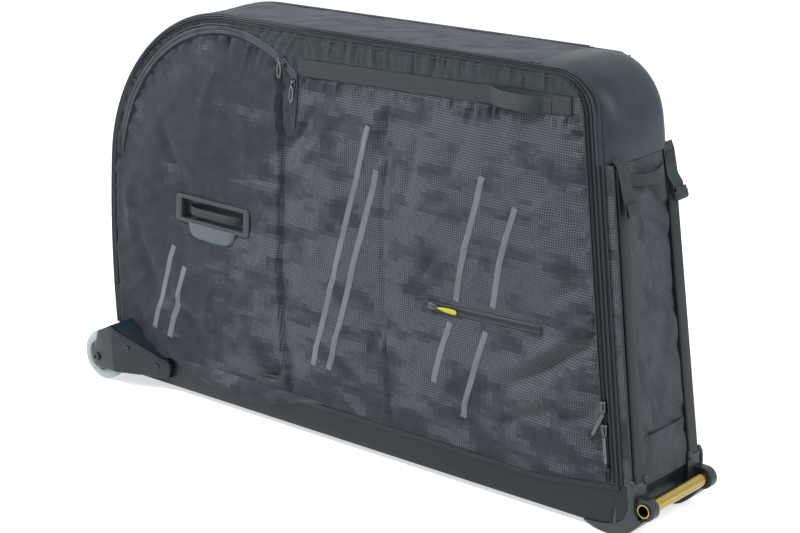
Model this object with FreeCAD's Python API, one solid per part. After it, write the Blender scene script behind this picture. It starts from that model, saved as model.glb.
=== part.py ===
import FreeCAD, Part
import math
import os

V = FreeCAD.Vector

# Bike travel case: X runs forwards to the axle tube, the lid is on the -Y side, Z is up, the floor is z = 0.

# Length and height of the bag
overall_length = 1380.0
upright_z = 105.0
front_lean = 7.2
top_slope = 1.36
front_corner_radius = 110.0
dome_radius = 328.0
dome_centre_z = 465.0
back_radius = 2080.0
rear_overhang = 33.0

# Half widths of the bag at its four corners in the side view
base_half_front = 102.0
base_half_rear = 140.0
top_half_front = 86.0
top_half_rear = 72.0
top_edge_z = 810.0

# Base
base_floor_z = 12.0
base_top_z = 70.0
base_front_rise = 28.0
base_rise_length = 190.0
base_wall = 4.0
board_thickness = 5.0
trim_height = 8.0
trim_proud = 3.0

# Fabric walls
side_thickness = 8.0
gusset_thickness = 6.0
hood_start_back = 242.0
hood_edge_z = 655.0
seam_gap = 0.3

# Side lid and its zip
lid_inset = 14.0
lid_front_inset = 48.0
lid_corner_radius = 68.0
zip_gap = 6.0
zip_inner_width = 5.0
zip_outer_width = 8.0
zip_thickness = 2.8
hinge_lift = 3.5
corner_cut_height = 119.0
corner_cut_length = 200.0

# Wheel pocket and its flap
flap_radius = 298.0
flap_start_angle = 178.0
flap_right_reach = 178.0
flap_hinge_z = 600.0
flap_gap = 4.0
wheel_zip_half = 6.0
wheel_zip_thickness = 2.0
pocket_inset = 28.0
pocket_depth = 32.0
pocket_cloth = 3.0
pocket_front_reach = 403.0
pocket_floor_z = 95.0

# Rear wheels
wheel_radius = 52.0
wheel_width = 32.0
wheel_centre_y = 173.0
wheel_slot_gap = 3.0
wheel_slot_radial = 5.0
hub_radius = 37.0
hub_recess = 5.0
bearing_radius = 11.0
bearing_width = 7.0
bearing_shoulder = 2.0
hub_boss_radius = 16.5
hub_rim_width = 4.4
axle_radius = 4.0
axle_head_radius = 9.0
axle_head_height = 3.5
running_gap = 0.04
cover_thickness = 8.0
cover_taper_start = 50.0
nose_reach = 164.0
nose_drop_in = 50.0
nose_height = 16.0
nose_depth = 24.0
nose_round = 16.0
cheek_radius = 24.0
housing_heel_height = 56.0
housing_peak_height = 76.0
housing_peak_reach = 38.0
housing_round = 3.0
screw_radius = 2.5
screw_head_radius = 6.0
screw_head_height = 2.2
screw_depth = 16.0
screw_back_reach = 79.0
screw_back_height = 33.0
screw_nose_reach = 138.0
screw_nose_height = 1.0
tyre_round = 9.0

# Front feet and axle tube
tube_radius = 12.5
tube_wall = 2.0
tube_half_length = 104.0
tube_z = 61.0
tube_hole_radius = 2.5
tube_fit = 0.05
ear_radius = 20.0
ear_reach = 28.0
ear_width = 18.0
ear_set_in = 4.0
foot_wall = 7.0
foot_width = 44.0
foot_side = 4.5
foot_flange = 18.0
foot_sole = 66.0
foot_top_z = 104.0
foot_round = 5.0
foot_bolt_radius = 2.5
foot_bolt_head_radius = 6.0
foot_bolt_head = 3.0
foot_bolt_low_z = 30.0
foot_bolt_high_z = 88.0
foot_bolt_in = 22.0

# Front struts
strut_width = 28.0
strut_inset = 3.0
strut_proud = 7.0
strut_round = 2.8
rod_radius = 2.2
rod_fit = 0.1

# Webbing
webbing_width = 32.0
webbing_thickness = 2.0
webbing_zip_gap = 14.0
webbing_end_back = 160.0
webbing_start_z = 721.0
webbing_end_z = 748.0
loop_thickness = 3.0
carry_length = 150.0
carry_rise = 13.0
carry_width = 28.0
carry_back = 276.0
front_handle_length = 104.0
front_handle_rise = 13.0
front_handle_width = 20.0
front_handle_z = 629.0
hood_strap_width = 32.0
hood_strap_y = 72.0
hood_strap_drop = 80.0
hood_strap_stand = 22.0
buckle_wall = 3.0
buckle_length = 14.0

# Recessed side grip
grip_dome_back = 32.0
grip_z = 391.0
grip_plate_length = 204.0
grip_plate_height = 56.0
grip_window_length = 172.0
grip_window_height = 40.0
grip_plate_proud = 3.0
grip_cup_depth = 18.0
grip_cup_wall = 2.5
grip_length = 156.0
grip_rise = 15.0
grip_width = 20.0

# Zip sliders and pulls
slider_length = 22.0
slider_width = 13.0
slider_height = 6.5
slider_ride = 0.5
slider_round = 2.0
upper_slider_z = 232.0
lower_slider_z = 190.0
pull_cord_radius = 2.6
pull_length = 54.0
pull_crimp_radius = 3.6
pull_crimp_length = 9.0
pull_bar_radius = 3.0
pull_bar_length = 16.0
pull_lean = 32.0
wheel_slider_angle = 61.0
wheel_slider_b_z = 684.0
wheel_tab_length = 30.0
wheel_tab_width = 9.0
wheel_tab_thickness = 2.4
pocket_zip_back = 467.0
pocket_zip_z = 329.0
pocket_zip_length = 263.0
pocket_zip_rise = 10.0
pocket_zip_width = 14.0
pocket_zip_thickness = 1.6
pocket_pull_length = 44.0
pocket_pull_round = 2.7

# Front patch pocket
front_pocket_height = 72.0
front_pocket_thickness = 2.5

# Padded rest for the bike's frame, inside on the base
frame_pad_length = 220.0
frame_pad_width = 80.0
frame_pad_height = 66.0
frame_pad_x = 50.0
frame_pad_round = 12.0

# Places that follow from the sizes above
half_length = overall_length / 2
tube_x = half_length - ear_radius
wheel_x = wheel_radius - half_length
wheel_z = wheel_radius
front_x = tube_x - ear_reach
rear_x = wheel_x - rear_overhang
dome_x = rear_x + dome_radius
webbing_start_x = dome_x + flap_right_reach + wheel_zip_half + webbing_zip_gap
webbing_end_x = front_x - webbing_end_back
grip_x = dome_x - grip_dome_back
base_front_top_z = base_top_z + base_front_rise
hinge_z = base_top_z + hinge_lift
far_y = 260.0
far_x = half_length + 60.0
far_z = dome_centre_z + dome_radius + 120.0
lean = math.radians(front_lean)
slope = math.radians(top_slope)
front_normal = (math.cos(lean), math.sin(lean))
front_up = (-math.sin(lean), math.cos(lean))
top_normal = (-math.sin(slope), math.cos(slope))
top_along = (math.cos(slope), math.sin(slope))


def half_width(x, z):
    """Half the bag's width at a place of its side view."""
    back = (front_x - x) / (front_x - rear_x)
    low = base_half_front + (base_half_rear - base_half_front) * back
    high = top_half_front + (top_half_rear - top_half_front) * back
    return low + (high - low) * (z - base_top_z) / (top_edge_z - base_top_z)


def place(x, z, y=0.0):
    return V(x, y, z)


def along(point, direction, distance):
    return (point[0] + direction[0] * distance, point[1] + direction[1] * distance)


def crossing(p, p_dir, q, q_dir):
    """Where two lines of the side view meet."""
    det = p_dir[1] * q_dir[0] - p_dir[0] * q_dir[1]
    step = ((q[1] - p[1]) * q_dir[0] - (q[0] - p[0]) * q_dir[1]) / det
    return along(p, p_dir, step)


def polar(centre, radius, degrees):
    angle = math.radians(degrees)
    return (centre[0] + radius * math.cos(angle), centre[1] + radius * math.sin(angle))


def line(a, b):
    return Part.makeLine(place(*a), place(*b))


def arc(a, mid, b):
    return Part.Arc(place(*a), place(*mid), place(*b)).toShape()


def prism(edges, y_from=-far_y, y_to=far_y):
    """A side view outline carried across the bag."""
    face = Part.Face(Part.Wire(edges))
    face.translate(V(0, y_from, 0))
    return face.extrude(V(0, y_to - y_from, 0))


def polygon_prism(points, y_from=-far_y, y_to=far_y):
    corners = list(points) + [points[0]]
    edges = [line(a, b) for a, b in zip(corners, corners[1:])]
    return prism(edges, y_from, y_to)


def plan_prism(points, z_from, z_to):
    corners = [V(x, y, z_from) for x, y in points]
    face = Part.Face(Part.makePolygon(corners + corners[:1]))
    return face.extrude(V(0, 0, z_to - z_from))


def box(x0, x1, y0, y1, z0, z1):
    return Part.makeBox(x1 - x0, y1 - y0, z1 - z0, V(x0, y0, z0))


def mirrored(shape):
    return shape.mirror(V(0, 0, 0), V(0, 1, 0))


# The bag's outline in the side view, moved in by an inset
def outline(inset, front_inset, corner_radius, floor_z):
    centre = (dome_x, dome_centre_z)
    front_point = along((front_x, upright_z), front_normal, -front_inset)
    dome_top = along(centre, top_normal, dome_radius - inset)
    corner = crossing(along(front_point, front_normal, -corner_radius), front_up,
                      along(dome_top, top_normal, -corner_radius), top_along)
    corner_front = along(corner, front_normal, corner_radius)
    corner_mid = polar(corner, corner_radius, (90 + top_slope + front_lean) / 2)
    corner_top = along(corner, top_normal, corner_radius)
    dome_mid = polar(centre, dome_radius - inset, 135)
    dome_back = (dome_x - dome_radius + inset, dome_centre_z)
    back_centre_x = rear_x + back_radius
    back_edge = []
    for z in ((dome_centre_z + floor_z) / 2, floor_z):
        reach = math.sqrt((back_radius - inset) ** 2 - (dome_centre_z - z) ** 2)
        back_edge.append((back_centre_x - reach, z))
    front_low = (front_x - front_inset, floor_z)
    knee = crossing(front_low, (0, 1), front_point, front_up)
    return [line(front_low, knee), line(knee, corner_front), arc(corner_front, corner_mid, corner_top),
            line(corner_top, dome_top), arc(dome_top, dome_mid, dome_back),
            arc(dome_back, back_edge[0], back_edge[1]), line(back_edge[1], front_low)]


def bag_outline(inset, floor_z=0.0):
    return prism(outline(inset, inset, front_corner_radius - inset, floor_z))


def lid_outline(grow):
    return prism(outline(lid_inset - grow, lid_front_inset - grow, lid_corner_radius + grow, 0.0))


# Slabs that follow the leaning, tapering sides
def ruled(corner_list):
    sections = []
    for x in (-far_x, far_x):
        corners = [V(x, y, z) for y, z in corner_list(x)]
        sections.append(Part.makePolygon(corners + corners[:1]))
    return Part.makeLoft(sections, True, True)


def side_slab(outer, inner, side=-1):
    """Between two depths under the side's skin; a negative depth is outside it."""
    def corners(x):
        low = half_width(x, 0)
        high = half_width(x, far_z)
        return [(side * (low - outer), 0), (side * (high - outer), far_z),
                (side * (high - inner), far_z), (side * (low - inner), 0)]
    return ruled(corners)


def core(depth):
    """Everything between the two sides, moved in by a depth."""
    def corners(x):
        low = half_width(x, 0) - depth
        high = half_width(x, far_z) - depth
        return [(-low, 0), (-high, far_z), (high, far_z), (low, 0)]
    return ruled(corners)


def base_edge(lift):
    rise_x = front_x - base_rise_length
    return [(-far_x, base_top_z + lift), (rise_x, base_top_z + lift),
            (front_x, base_front_top_z + lift), (far_x, base_front_top_z + lift)]


def above_base(lift):
    return polygon_prism(base_edge(lift) + [(far_x, far_z), (-far_x, far_z)])


def below_base(lift):
    return polygon_prism(base_edge(lift) + [(far_x, 0), (-far_x, 0)])


def above_hem(drop):
    """Above the lid's lower edge, which climbs over the wheel housing at the back."""
    cut_x = rear_x + rear_overhang + corner_cut_length
    per_length = corner_cut_height / corner_cut_length
    back_z = hinge_z + (cut_x + far_x) * per_length
    edge = base_edge(hinge_lift - drop)
    edge[0] = (cut_x, hinge_z - drop)
    return polygon_prism([(-far_x, back_z - drop)] + edge + [(far_x, far_z), (-far_x, far_z)])


def side_frame(x, z):
    """Local frame on the left side's skin: X forwards, Y up, Z out of the bag."""
    step = 1.0
    here = half_width(x, z)
    run = V(step, here - half_width(x + step, z), 0)
    climb = V(0, here - half_width(x, z + step), step)
    run.normalize()
    out = run.cross(climb)
    out.normalize()
    up = out.cross(run)
    matrix = FreeCAD.Matrix(run.x, up.x, out.x, x, run.y, up.y, out.y, -here,
                            run.z, up.z, out.z, z, 0, 0, 0, 1)
    return FreeCAD.Placement(matrix)


def front_frame(z):
    """Local frame on the leaning front: X to the right side, Y up, Z out of the bag."""
    x = front_x - (z - upright_z) * math.tan(lean)
    matrix = FreeCAD.Matrix(0, front_up[0], front_normal[0], x, 1, 0, 0, 0,
                            0, front_up[1], front_normal[1], z, 0, 0, 0, 1)
    return FreeCAD.Placement(matrix)


def placed(shape, placement):
    moved = shape.copy()
    moved.Placement = placement.multiply(moved.Placement)
    return moved


def rod(start, direction, radius, length):
    return Part.makeCylinder(radius, length, start, direction)


def strap_loop(length, rise, thickness, width, lift):
    """A webbing loop that stands off between its two sewn ends, in a local frame."""
    half = length / 2
    ramp = rise
    foot = thickness * 2
    points = [(-half, lift), (-half + ramp, lift + rise), (half - ramp, lift + rise), (half, lift),
              (half - foot, lift), (half - ramp - thickness, lift + rise - thickness),
              (-half + ramp + thickness, lift + rise - thickness), (-half + foot, lift)]
    corners = [V(x, -width / 2, z) for x, z in points]
    face = Part.Face(Part.makePolygon(corners + corners[:1]))
    return face.extrude(V(0, width, 0))


# Base
def base_tub():
    hull = bag_outline(0, base_floor_z).common(core(0)).common(below_base(0))
    inside = bag_outline(base_wall, base_floor_z + base_wall).common(core(base_wall))
    return hull.cut(inside).cut(foot_bolt_holes())


def base_board():
    low_z = base_floor_z + base_wall + seam_gap
    inside = bag_outline(base_wall + seam_gap, low_z).common(core(base_wall + seam_gap))
    return inside.common(box(-far_x, far_x, -far_y, far_y, low_z, low_z + board_thickness))


def base_trims():
    strip = below_base(-seam_gap).cut(below_base(-seam_gap - trim_height))
    cut_x = rear_x + rear_overhang + corner_cut_length
    strip = strip.common(box(cut_x, front_x - foot_flange - foot_side, -far_y, far_y, 0, far_z))
    left = strip.common(side_slab(-trim_proud, -seam_gap))
    return Part.makeCompound([left, mirrored(left)])


# Front feet, the axle tube between them and the bolts that hold the feet
def foot_bolt_line(side):
    y = side * (base_half_front - foot_bolt_in)
    return [V(front_x, y, foot_bolt_low_z), V(front_x, y, foot_bolt_high_z)]


def foot_bolt_holes():
    holes = []
    for side in (-1, 1):
        for point in foot_bolt_line(side):
            start = point - V(base_wall * 2, 0, 0)
            holes.append(rod(start, V(1, 0, 0), foot_bolt_radius + tube_fit, base_wall * 2 + foot_wall * 2))
    return Part.makeCompound(holes)


def foot_bolts():
    bolts = []
    for side in (-1, 1):
        for point in foot_bolt_line(side):
            head_x = front_x - base_wall - seam_gap - foot_bolt_head
            head = rod(V(head_x, point.y, point.z), V(1, 0, 0), foot_bolt_head_radius, foot_bolt_head)
            shank_length = front_x + foot_wall - head_x
            shank = rod(V(head_x, point.y, point.z), V(1, 0, 0), foot_bolt_radius, shank_length)
            bolts.append(head.fuse(shank).removeSplitter())
    return Part.makeCompound(bolts)


def front_foot():
    outer_y = half_width(front_x, base_floor_z) + foot_side
    inner_y = outer_y - foot_width
    shell = box(front_x - foot_flange, front_x + foot_wall, -outer_y, -inner_y, 0, foot_top_z)
    upright = [e for e in shell.Edges if abs(e.Vertexes[0].X - e.Vertexes[1].X) < 1
               and abs(e.Vertexes[0].Y - e.Vertexes[1].Y) < 1 and e.Vertexes[0].X > front_x]
    shell = shell.makeFillet(foot_round, upright)
    sole = box(front_x - foot_sole, front_x + foot_wall, -outer_y, -inner_y, 0, base_floor_z - seam_gap)
    ends = [e for e in sole.Edges if abs(e.Vertexes[0].X - e.Vertexes[1].X) < 1
            and abs(e.Vertexes[0].Y - e.Vertexes[1].Y) < 1]
    sole = sole.makeFillet(foot_round, ends)
    ear_y = tube_half_length - ear_set_in
    ear = rod(V(tube_x, -ear_y, tube_z), V(0, 1, 0), ear_radius, ear_width)
    web = box(front_x + foot_wall / 2, tube_x, -ear_y, -ear_y + ear_width,
              tube_z - ear_radius, tube_z + ear_radius)
    foot = shell.fuse([sole, ear, web]).removeSplitter()
    bag = bag_outline(-seam_gap, base_floor_z - seam_gap).common(core(-seam_gap))
    foot = foot.cut(bag)
    foot = foot.cut(rod(V(tube_x, -far_y, tube_z), V(0, 1, 0), tube_radius + tube_fit, far_y * 2))
    return foot.cut(foot_bolt_holes()).removeSplitter()


def axle_tube():
    start = V(tube_x, -tube_half_length, tube_z)
    tube = rod(start, V(0, 1, 0), tube_radius, tube_half_length * 2)
    tube = tube.cut(rod(start, V(0, 1, 0), tube_radius - tube_wall, tube_half_length * 2))
    return tube.cut(rod(V(tube_x, 0, tube_z), V(0, 0, 1), tube_hole_radius, tube_radius * 2))


# Rear wheels
def wheel_span():
    return (-wheel_centre_y - wheel_width / 2, wheel_width)


def wheel_disc(radius, set_in=0.0):
    start, width = wheel_span()
    return rod(V(wheel_x, start + set_in, wheel_z), V(0, 1, 0), radius, width - 2 * set_in)


def wheel_tyre():
    tyre = wheel_disc(wheel_radius)
    rims = [e for e in tyre.Edges if e.Curve.TypeId == "Part::GeomCircle"]
    return tyre.makeFillet(tyre_round, rims).cut(wheel_disc(hub_radius + seam_gap))


def wheel_hub():
    hub = wheel_disc(hub_radius)
    start, width = wheel_span()
    rim = hub_radius - hub_rim_width
    for y in (start, start + width - hub_recess):
        ring = rod(V(wheel_x, y, wheel_z), V(0, 1, 0), rim, hub_recess)
        hub = hub.cut(ring.cut(rod(V(wheel_x, y, wheel_z), V(0, 1, 0), hub_boss_radius, hub_recess)))
    for y in (start, start + width - bearing_width):
        hub = hub.cut(rod(V(wheel_x, y, wheel_z), V(0, 1, 0), bearing_radius + running_gap, bearing_width))
    return hub.cut(wheel_disc(bearing_radius - bearing_shoulder))


def wheel_bearings():
    start, width = wheel_span()
    rings = []
    for y in (start, start + width - bearing_width):
        ring = rod(V(wheel_x, y, wheel_z), V(0, 1, 0), bearing_radius, bearing_width)
        bore = rod(V(wheel_x, y, wheel_z), V(0, 1, 0), axle_radius + running_gap, bearing_width)
        rings.append(ring.cut(bore))
    return Part.makeCompound(rings)


# Wheel housings: an inner moulding against the bag and a screwed cover outside the wheel
def cover_face_y():
    return wheel_centre_y + wheel_width / 2 + wheel_slot_gap + cover_thickness


def housing_outline():
    axle = (wheel_x, wheel_z)
    low = polar(axle, cheek_radius, 260)
    left = polar(axle, cheek_radius, 185)
    high = polar(axle, cheek_radius, 115)
    heel = (wheel_x, wheel_z + housing_heel_height)
    peak = (wheel_x + housing_peak_reach, wheel_z + housing_peak_height)
    nose_x = wheel_x + nose_reach
    nose_top = (nose_x - nose_round, wheel_z + nose_height)
    nose_mid = (nose_x - nose_round / 4, wheel_z + nose_height / 2)
    nose_end = (nose_x, wheel_z - nose_height / 4)
    nose_low = (nose_x - nose_round / 4, wheel_z - nose_depth)
    return [arc(low, left, high), line(high, heel), line(heel, peak), line(peak, nose_top),
            arc(nose_top, nose_mid, nose_end), line(nose_end, nose_low), line(nose_low, low)]


def cover_run_in():
    """How far the cover's outer face runs in towards the bag for each millimetre of length."""
    return nose_drop_in / (nose_reach - cover_taper_start)


def cover_layer(outer, inner):
    """Between two depths under the cover's outer face, which runs in towards its nose."""
    start_x = wheel_x + cover_taper_start
    end_x = wheel_x + nose_reach * 2
    face = cover_face_y()
    end_face = face - (end_x - start_x) * cover_run_in()
    points = [(-far_x, -face + outer), (start_x, -face + outer), (end_x, -end_face + outer),
              (end_x, -end_face + inner), (start_x, -face + inner), (-far_x, -face + inner)]
    return plan_prism(points, 0, far_z)


def cover_screw_lines():
    angle = math.atan(cover_run_in())
    into = V(-math.sin(angle), math.cos(angle), 0)
    lines = []
    for reach, height in ((screw_back_reach, screw_back_height), (screw_nose_reach, screw_nose_height)):
        y = -cover_face_y() + (reach - cover_taper_start) * cover_run_in()
        lines.append((V(wheel_x + reach, y, wheel_z + height), into))
    return lines


def cover_holes(shape):
    for point, into in cover_screw_lines():
        shape = shape.cut(rod(point - into * screw_depth, into, screw_radius + rod_fit, screw_depth * 2))
    axle_hole = rod(V(wheel_x, -far_y, wheel_z), V(0, 1, 0), axle_radius + rod_fit, far_y)
    return shape.cut(axle_hole)


def wheel_housing():
    block = prism(housing_outline(), -far_y, 0).common(cover_layer(cover_thickness + seam_gap, far_y))
    block = block.cut(core(-seam_gap))
    slot_out = wheel_centre_y + wheel_width / 2 + wheel_slot_gap + cover_thickness
    slot_width = wheel_width + 2 * wheel_slot_gap + cover_thickness
    slot = rod(V(wheel_x, -slot_out, wheel_z), V(0, 1, 0), wheel_radius + wheel_slot_radial, slot_width)
    block = cover_holes(block.cut(slot))
    return max(block.Solids, key=lambda solid: solid.Volume)


def wheel_cover():
    cover = prism(housing_outline(), -far_y, 0).common(cover_layer(0, cover_thickness)).Solids[0]
    skin = cover_layer(0, seam_gap)
    rims = [e for e in cover.Edges if skin.distToShape(Part.Vertex(e.CenterOfMass))[0] < seam_gap
            and not abs(e.CenterOfMass.x - wheel_x - cover_taper_start) < seam_gap]
    return cover_holes(cover.makeFillet(housing_round, rims))


def cover_screws():
    screws = []
    for point, into in cover_screw_lines():
        head = rod(point - into * screw_head_height, into, screw_head_radius, screw_head_height - seam_gap)
        shank = rod(point - into * screw_head_height, into, screw_radius, screw_depth)
        socket = rod(point - into * screw_head_height, into, screw_radius, screw_head_height / 2)
        screws.append(head.fuse(shank).removeSplitter().cut(socket))
    return Part.makeCompound(screws + [mirrored(screw) for screw in screws])


def wheel_axles():
    face = -cover_face_y() - seam_gap
    end = -wheel_centre_y + wheel_width / 2 + wheel_slot_gap + axle_radius * 2
    head = rod(V(wheel_x, face - axle_head_height, wheel_z), V(0, 1, 0), axle_head_radius, axle_head_height)
    rims = [e for e in head.Edges if e.Curve.TypeId == "Part::GeomCircle" and e.CenterOfMass.y < face - 1]
    head = head.makeFillet(axle_head_height / 2, rims)
    shank = rod(V(wheel_x, face - axle_head_height / 2, wheel_z), V(0, 1, 0), axle_radius,
                end - face + axle_head_height / 2)
    socket = rod(V(wheel_x, face - axle_head_height, wheel_z), V(0, 1, 0), axle_radius, axle_head_height / 2)
    axle = head.fuse(shank).removeSplitter().cut(socket)
    return Part.makeCompound([axle, mirrored(axle)])


# Fabric band over the back and top, the hood and the front wall
def fabric_band():
    ring = bag_outline(0).cut(bag_outline(gusset_thickness))
    return ring.common(core(side_thickness + seam_gap)).common(above_base(seam_gap))


def gusset():
    end_x = front_x - hood_start_back - seam_gap
    return fabric_band().common(box(-far_x, end_x, -far_y, far_y, 0, far_z))


def hood():
    start_x = front_x - hood_start_back
    return fabric_band().common(box(start_x, far_x, -far_y, far_y, hood_edge_z, far_z))


def front_panel():
    start_x = front_x - hood_start_back
    return fabric_band().common(box(start_x, far_x, -far_y, far_y, 0, hood_edge_z - seam_gap))


def front_layer(near, far, z_low, z_high):
    """Between two heights over the leaning front wall."""
    points = []
    for z, off in ((z_low, near), (z_high, near), (z_high, far), (z_low, far)):
        points.append((front_x - (z - upright_z) * math.tan(lean) + off / math.cos(lean), z))
    return polygon_prism(points)


def front_pocket():
    low_z = base_front_top_z + foot_wall
    layer = front_layer(seam_gap, seam_gap + front_pocket_thickness, low_z, low_z + front_pocket_height)
    return layer.common(core(strut_inset + strut_width + foot_wall))


def strut_ends():
    """Ends of the straight line down the middle of the left strut."""
    ends = []
    for z in (upright_z, hood_edge_z):
        x = front_x - (z - upright_z) * math.tan(lean) + (seam_gap + strut_proud / 2) / math.cos(lean)
        ends.append(V(x, -half_width(x, z) + strut_inset + strut_width / 2, z))
    return ends


def strut_rod(radius, short):
    low, high = strut_ends()
    run = high - low
    length = run.Length
    run.normalize()
    return rod(low + run * short, run, radius, length - 2 * short)


def front_strut():
    low_z = max(foot_top_z, upright_z) + seam_gap
    layer = front_layer(seam_gap, seam_gap + strut_proud, low_z, hood_edge_z)
    strut = layer.common(side_slab(strut_inset, strut_inset + strut_width)).Solids[0]
    front_edge = [e for e in strut.Edges if e.Length > strut_width * 4
                  and (e.CenterOfMass.x - strut.CenterOfMass.x) > 0]
    strut = strut.makeFillet(strut_round, front_edge)
    return strut.cut(strut_rod(rod_radius + rod_fit, strut_width))


def strut_rods():
    left = strut_rod(rod_radius, strut_width + rod_fit)
    return Part.makeCompound([left, mirrored(left)])


# Straps and handles on the front
def front_point(z, off):
    return (front_x - (z - upright_z) * math.tan(lean) + off / math.cos(lean), z)


def hood_strap_run():
    """Top and loose end of the strap's free run, on its back face."""
    top = front_point(hood_edge_z + webbing_thickness, strut_proud + 2 * seam_gap)
    end = front_point(hood_edge_z - hood_strap_drop, hood_strap_stand)
    return top, end


def hood_straps():
    top, end = hood_strap_run()
    sewn = front_point(hood_edge_z + webbing_width / 2, seam_gap)
    back = [sewn, top, end]
    face = [along(point, front_normal, webbing_thickness) for point in reversed(back)]
    half = hood_strap_width / 2
    left = polygon_prism(back + face, -hood_strap_y - half, -hood_strap_y + half)
    return Part.makeCompound([left, mirrored(left)])


def strap_buckle():
    """A plain frame round the loose end of the right hood strap."""
    top, end = hood_strap_run()
    run = V(top[0] - end[0], 0, top[1] - end[1])
    run.normalize()
    out = V(0, 1, 0).cross(run)
    half = hood_strap_width / 2 + seam_gap
    deep = webbing_thickness + seam_gap
    frame = box(-half - buckle_wall, half + buckle_wall, 0, buckle_length,
                -seam_gap - buckle_wall, deep + buckle_wall)
    frame = frame.cut(box(-half, half, 0, buckle_length, -seam_gap, deep))
    matrix = FreeCAD.Matrix(0, run.x, out.x, end[0], 1, run.y, out.y, -hood_strap_y,
                            0, run.z, out.z, end[1], 0, 0, 0, 1)
    return mirrored(placed(frame, FreeCAD.Placement(matrix)))


def front_handle():
    loop = strap_loop(front_handle_length, front_handle_rise, loop_thickness, front_handle_width, seam_gap)
    return placed(loop, front_frame(front_handle_z))


# Side walls, lid and wheel pocket flap
def flap_region(grow, drop):
    centre = (dome_x, dome_centre_z)
    radius = flap_radius + grow
    right_x = dome_x + flap_right_reach + grow
    left_end = polar(centre, flap_radius, flap_start_angle)
    right_end = (dome_x + flap_right_reach, flap_hinge_z)
    length = math.hypot(right_end[0] - left_end[0], right_end[1] - left_end[1])
    chord = ((right_end[0] - left_end[0]) / length, (right_end[1] - left_end[1]) / length)
    below = (chord[1], -chord[0])
    start = along(left_end, below, drop)
    to_x = start[0] - centre[0]
    to_z = start[1] - centre[1]
    half_b = to_x * chord[0] + to_z * chord[1]
    root = math.sqrt(half_b ** 2 - (to_x ** 2 + to_z ** 2 - radius ** 2))
    left = along(start, chord, -half_b - root)
    right = along(start, chord, (right_x - start[0]) / chord[0])
    top = (right_x, dome_centre_z + math.sqrt(radius ** 2 - (right_x - dome_x) ** 2))
    middle = polar(centre, radius, 115)
    return prism([line(left, right), line(right, top), arc(top, middle, left)])


def side_skin():
    return side_slab(0, side_thickness)


def side_border():
    opening = lid_outline(zip_gap).common(above_hem(zip_gap / 2))
    border = bag_outline(0).common(side_skin()).common(above_base(seam_gap))
    return border.cut(opening)


def grip_hole():
    length = grip_window_length + 2 * (grip_cup_wall + seam_gap)
    height = grip_window_height + 2 * (grip_cup_wall + seam_gap)
    hole = box(-length / 2, length / 2, -height / 2, height / 2, -side_thickness * 3, side_thickness * 3)
    return placed(hole, side_frame(grip_x, grip_z))


def lid_panel():
    panel = lid_outline(0).common(above_hem(0)).common(side_skin())
    return panel.cut(flap_region(flap_gap, flap_gap)).cut(grip_hole())


def side_wall():
    wall = bag_outline(0).common(above_base(seam_gap)).common(side_skin())
    return mirrored(wall.cut(flap_region(flap_gap, flap_gap)).cut(grip_hole()))


def wheel_flap():
    return flap_region(0, 0).common(side_skin())


def wheel_zip():
    band = flap_region(wheel_zip_half, -wheel_zip_half * 3)
    band = band.cut(flap_region(-wheel_zip_half, wheel_zip_half * 6))
    return band.common(side_slab(-wheel_zip_thickness - seam_gap, -seam_gap))


def main_zip():
    band = lid_outline(zip_outer_width).cut(lid_outline(-zip_inner_width))
    band = band.common(above_hem(-zip_inner_width))
    return band.common(side_slab(-zip_thickness - seam_gap, -seam_gap))


def pocket_region(shrink):
    front = dome_x + pocket_front_reach - shrink
    inset = pocket_inset + shrink
    space = prism(outline(inset, inset, front_corner_radius - inset, 0))
    space = space.common(above_hem(-pocket_inset + lid_inset - shrink))
    return space.common(box(-far_x, front, -far_y, far_y, pocket_floor_z + shrink, far_z))


def pocket_gusset():
    ring = pocket_region(0).cut(pocket_region(pocket_cloth))
    return ring.common(side_slab(side_thickness + seam_gap, side_thickness + pocket_depth))


def wheel_liner():
    back = side_thickness + pocket_depth + seam_gap
    return pocket_region(0).common(side_slab(back, back + pocket_cloth))


# Webbing, handles and grips on the sides
def webbing_z(x):
    along_band = (x - webbing_start_x) / (webbing_end_x - webbing_start_x)
    return webbing_start_z + (webbing_end_z - webbing_start_z) * along_band


def side_webbing():
    half = webbing_width / 2
    band = polygon_prism([(webbing_start_x, webbing_start_z - half), (webbing_end_x, webbing_end_z - half),
                          (webbing_end_x, webbing_end_z + half), (webbing_start_x, webbing_start_z + half)])
    return band.common(side_slab(-webbing_thickness - seam_gap, -seam_gap))


def carry_handle():
    x = front_x - carry_back
    lift = webbing_thickness + 2 * seam_gap
    loop = strap_loop(carry_length, carry_rise, loop_thickness, carry_width, lift)
    return placed(loop, side_frame(x, webbing_z(x)))


def grip_plate():
    half_l = grip_window_length / 2
    half_h = grip_window_height / 2
    wall = grip_cup_wall
    rim = box(-grip_plate_length / 2, grip_plate_length / 2, -grip_plate_height / 2, grip_plate_height / 2,
              2 * seam_gap, grip_plate_proud)
    corners = [e for e in rim.Edges if abs(e.Vertexes[0].Z - e.Vertexes[1].Z) > grip_plate_proud / 2]
    rim = rim.makeFillet(grip_plate_height / 6, corners)
    cup = box(-half_l - wall, half_l + wall, -half_h - wall, half_h + wall, -grip_cup_depth, grip_plate_proud)
    window = box(-half_l, half_l, -half_h, half_h, -grip_cup_depth + wall, grip_plate_proud)
    plate = rim.fuse(cup).removeSplitter().cut(window)
    return placed(plate, side_frame(grip_x, grip_z))


def side_grip():
    lift = -grip_cup_depth + grip_cup_wall + seam_gap
    loop = strap_loop(grip_length, grip_rise, loop_thickness, grip_width, lift)
    return placed(loop, side_frame(grip_x, grip_z))


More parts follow.
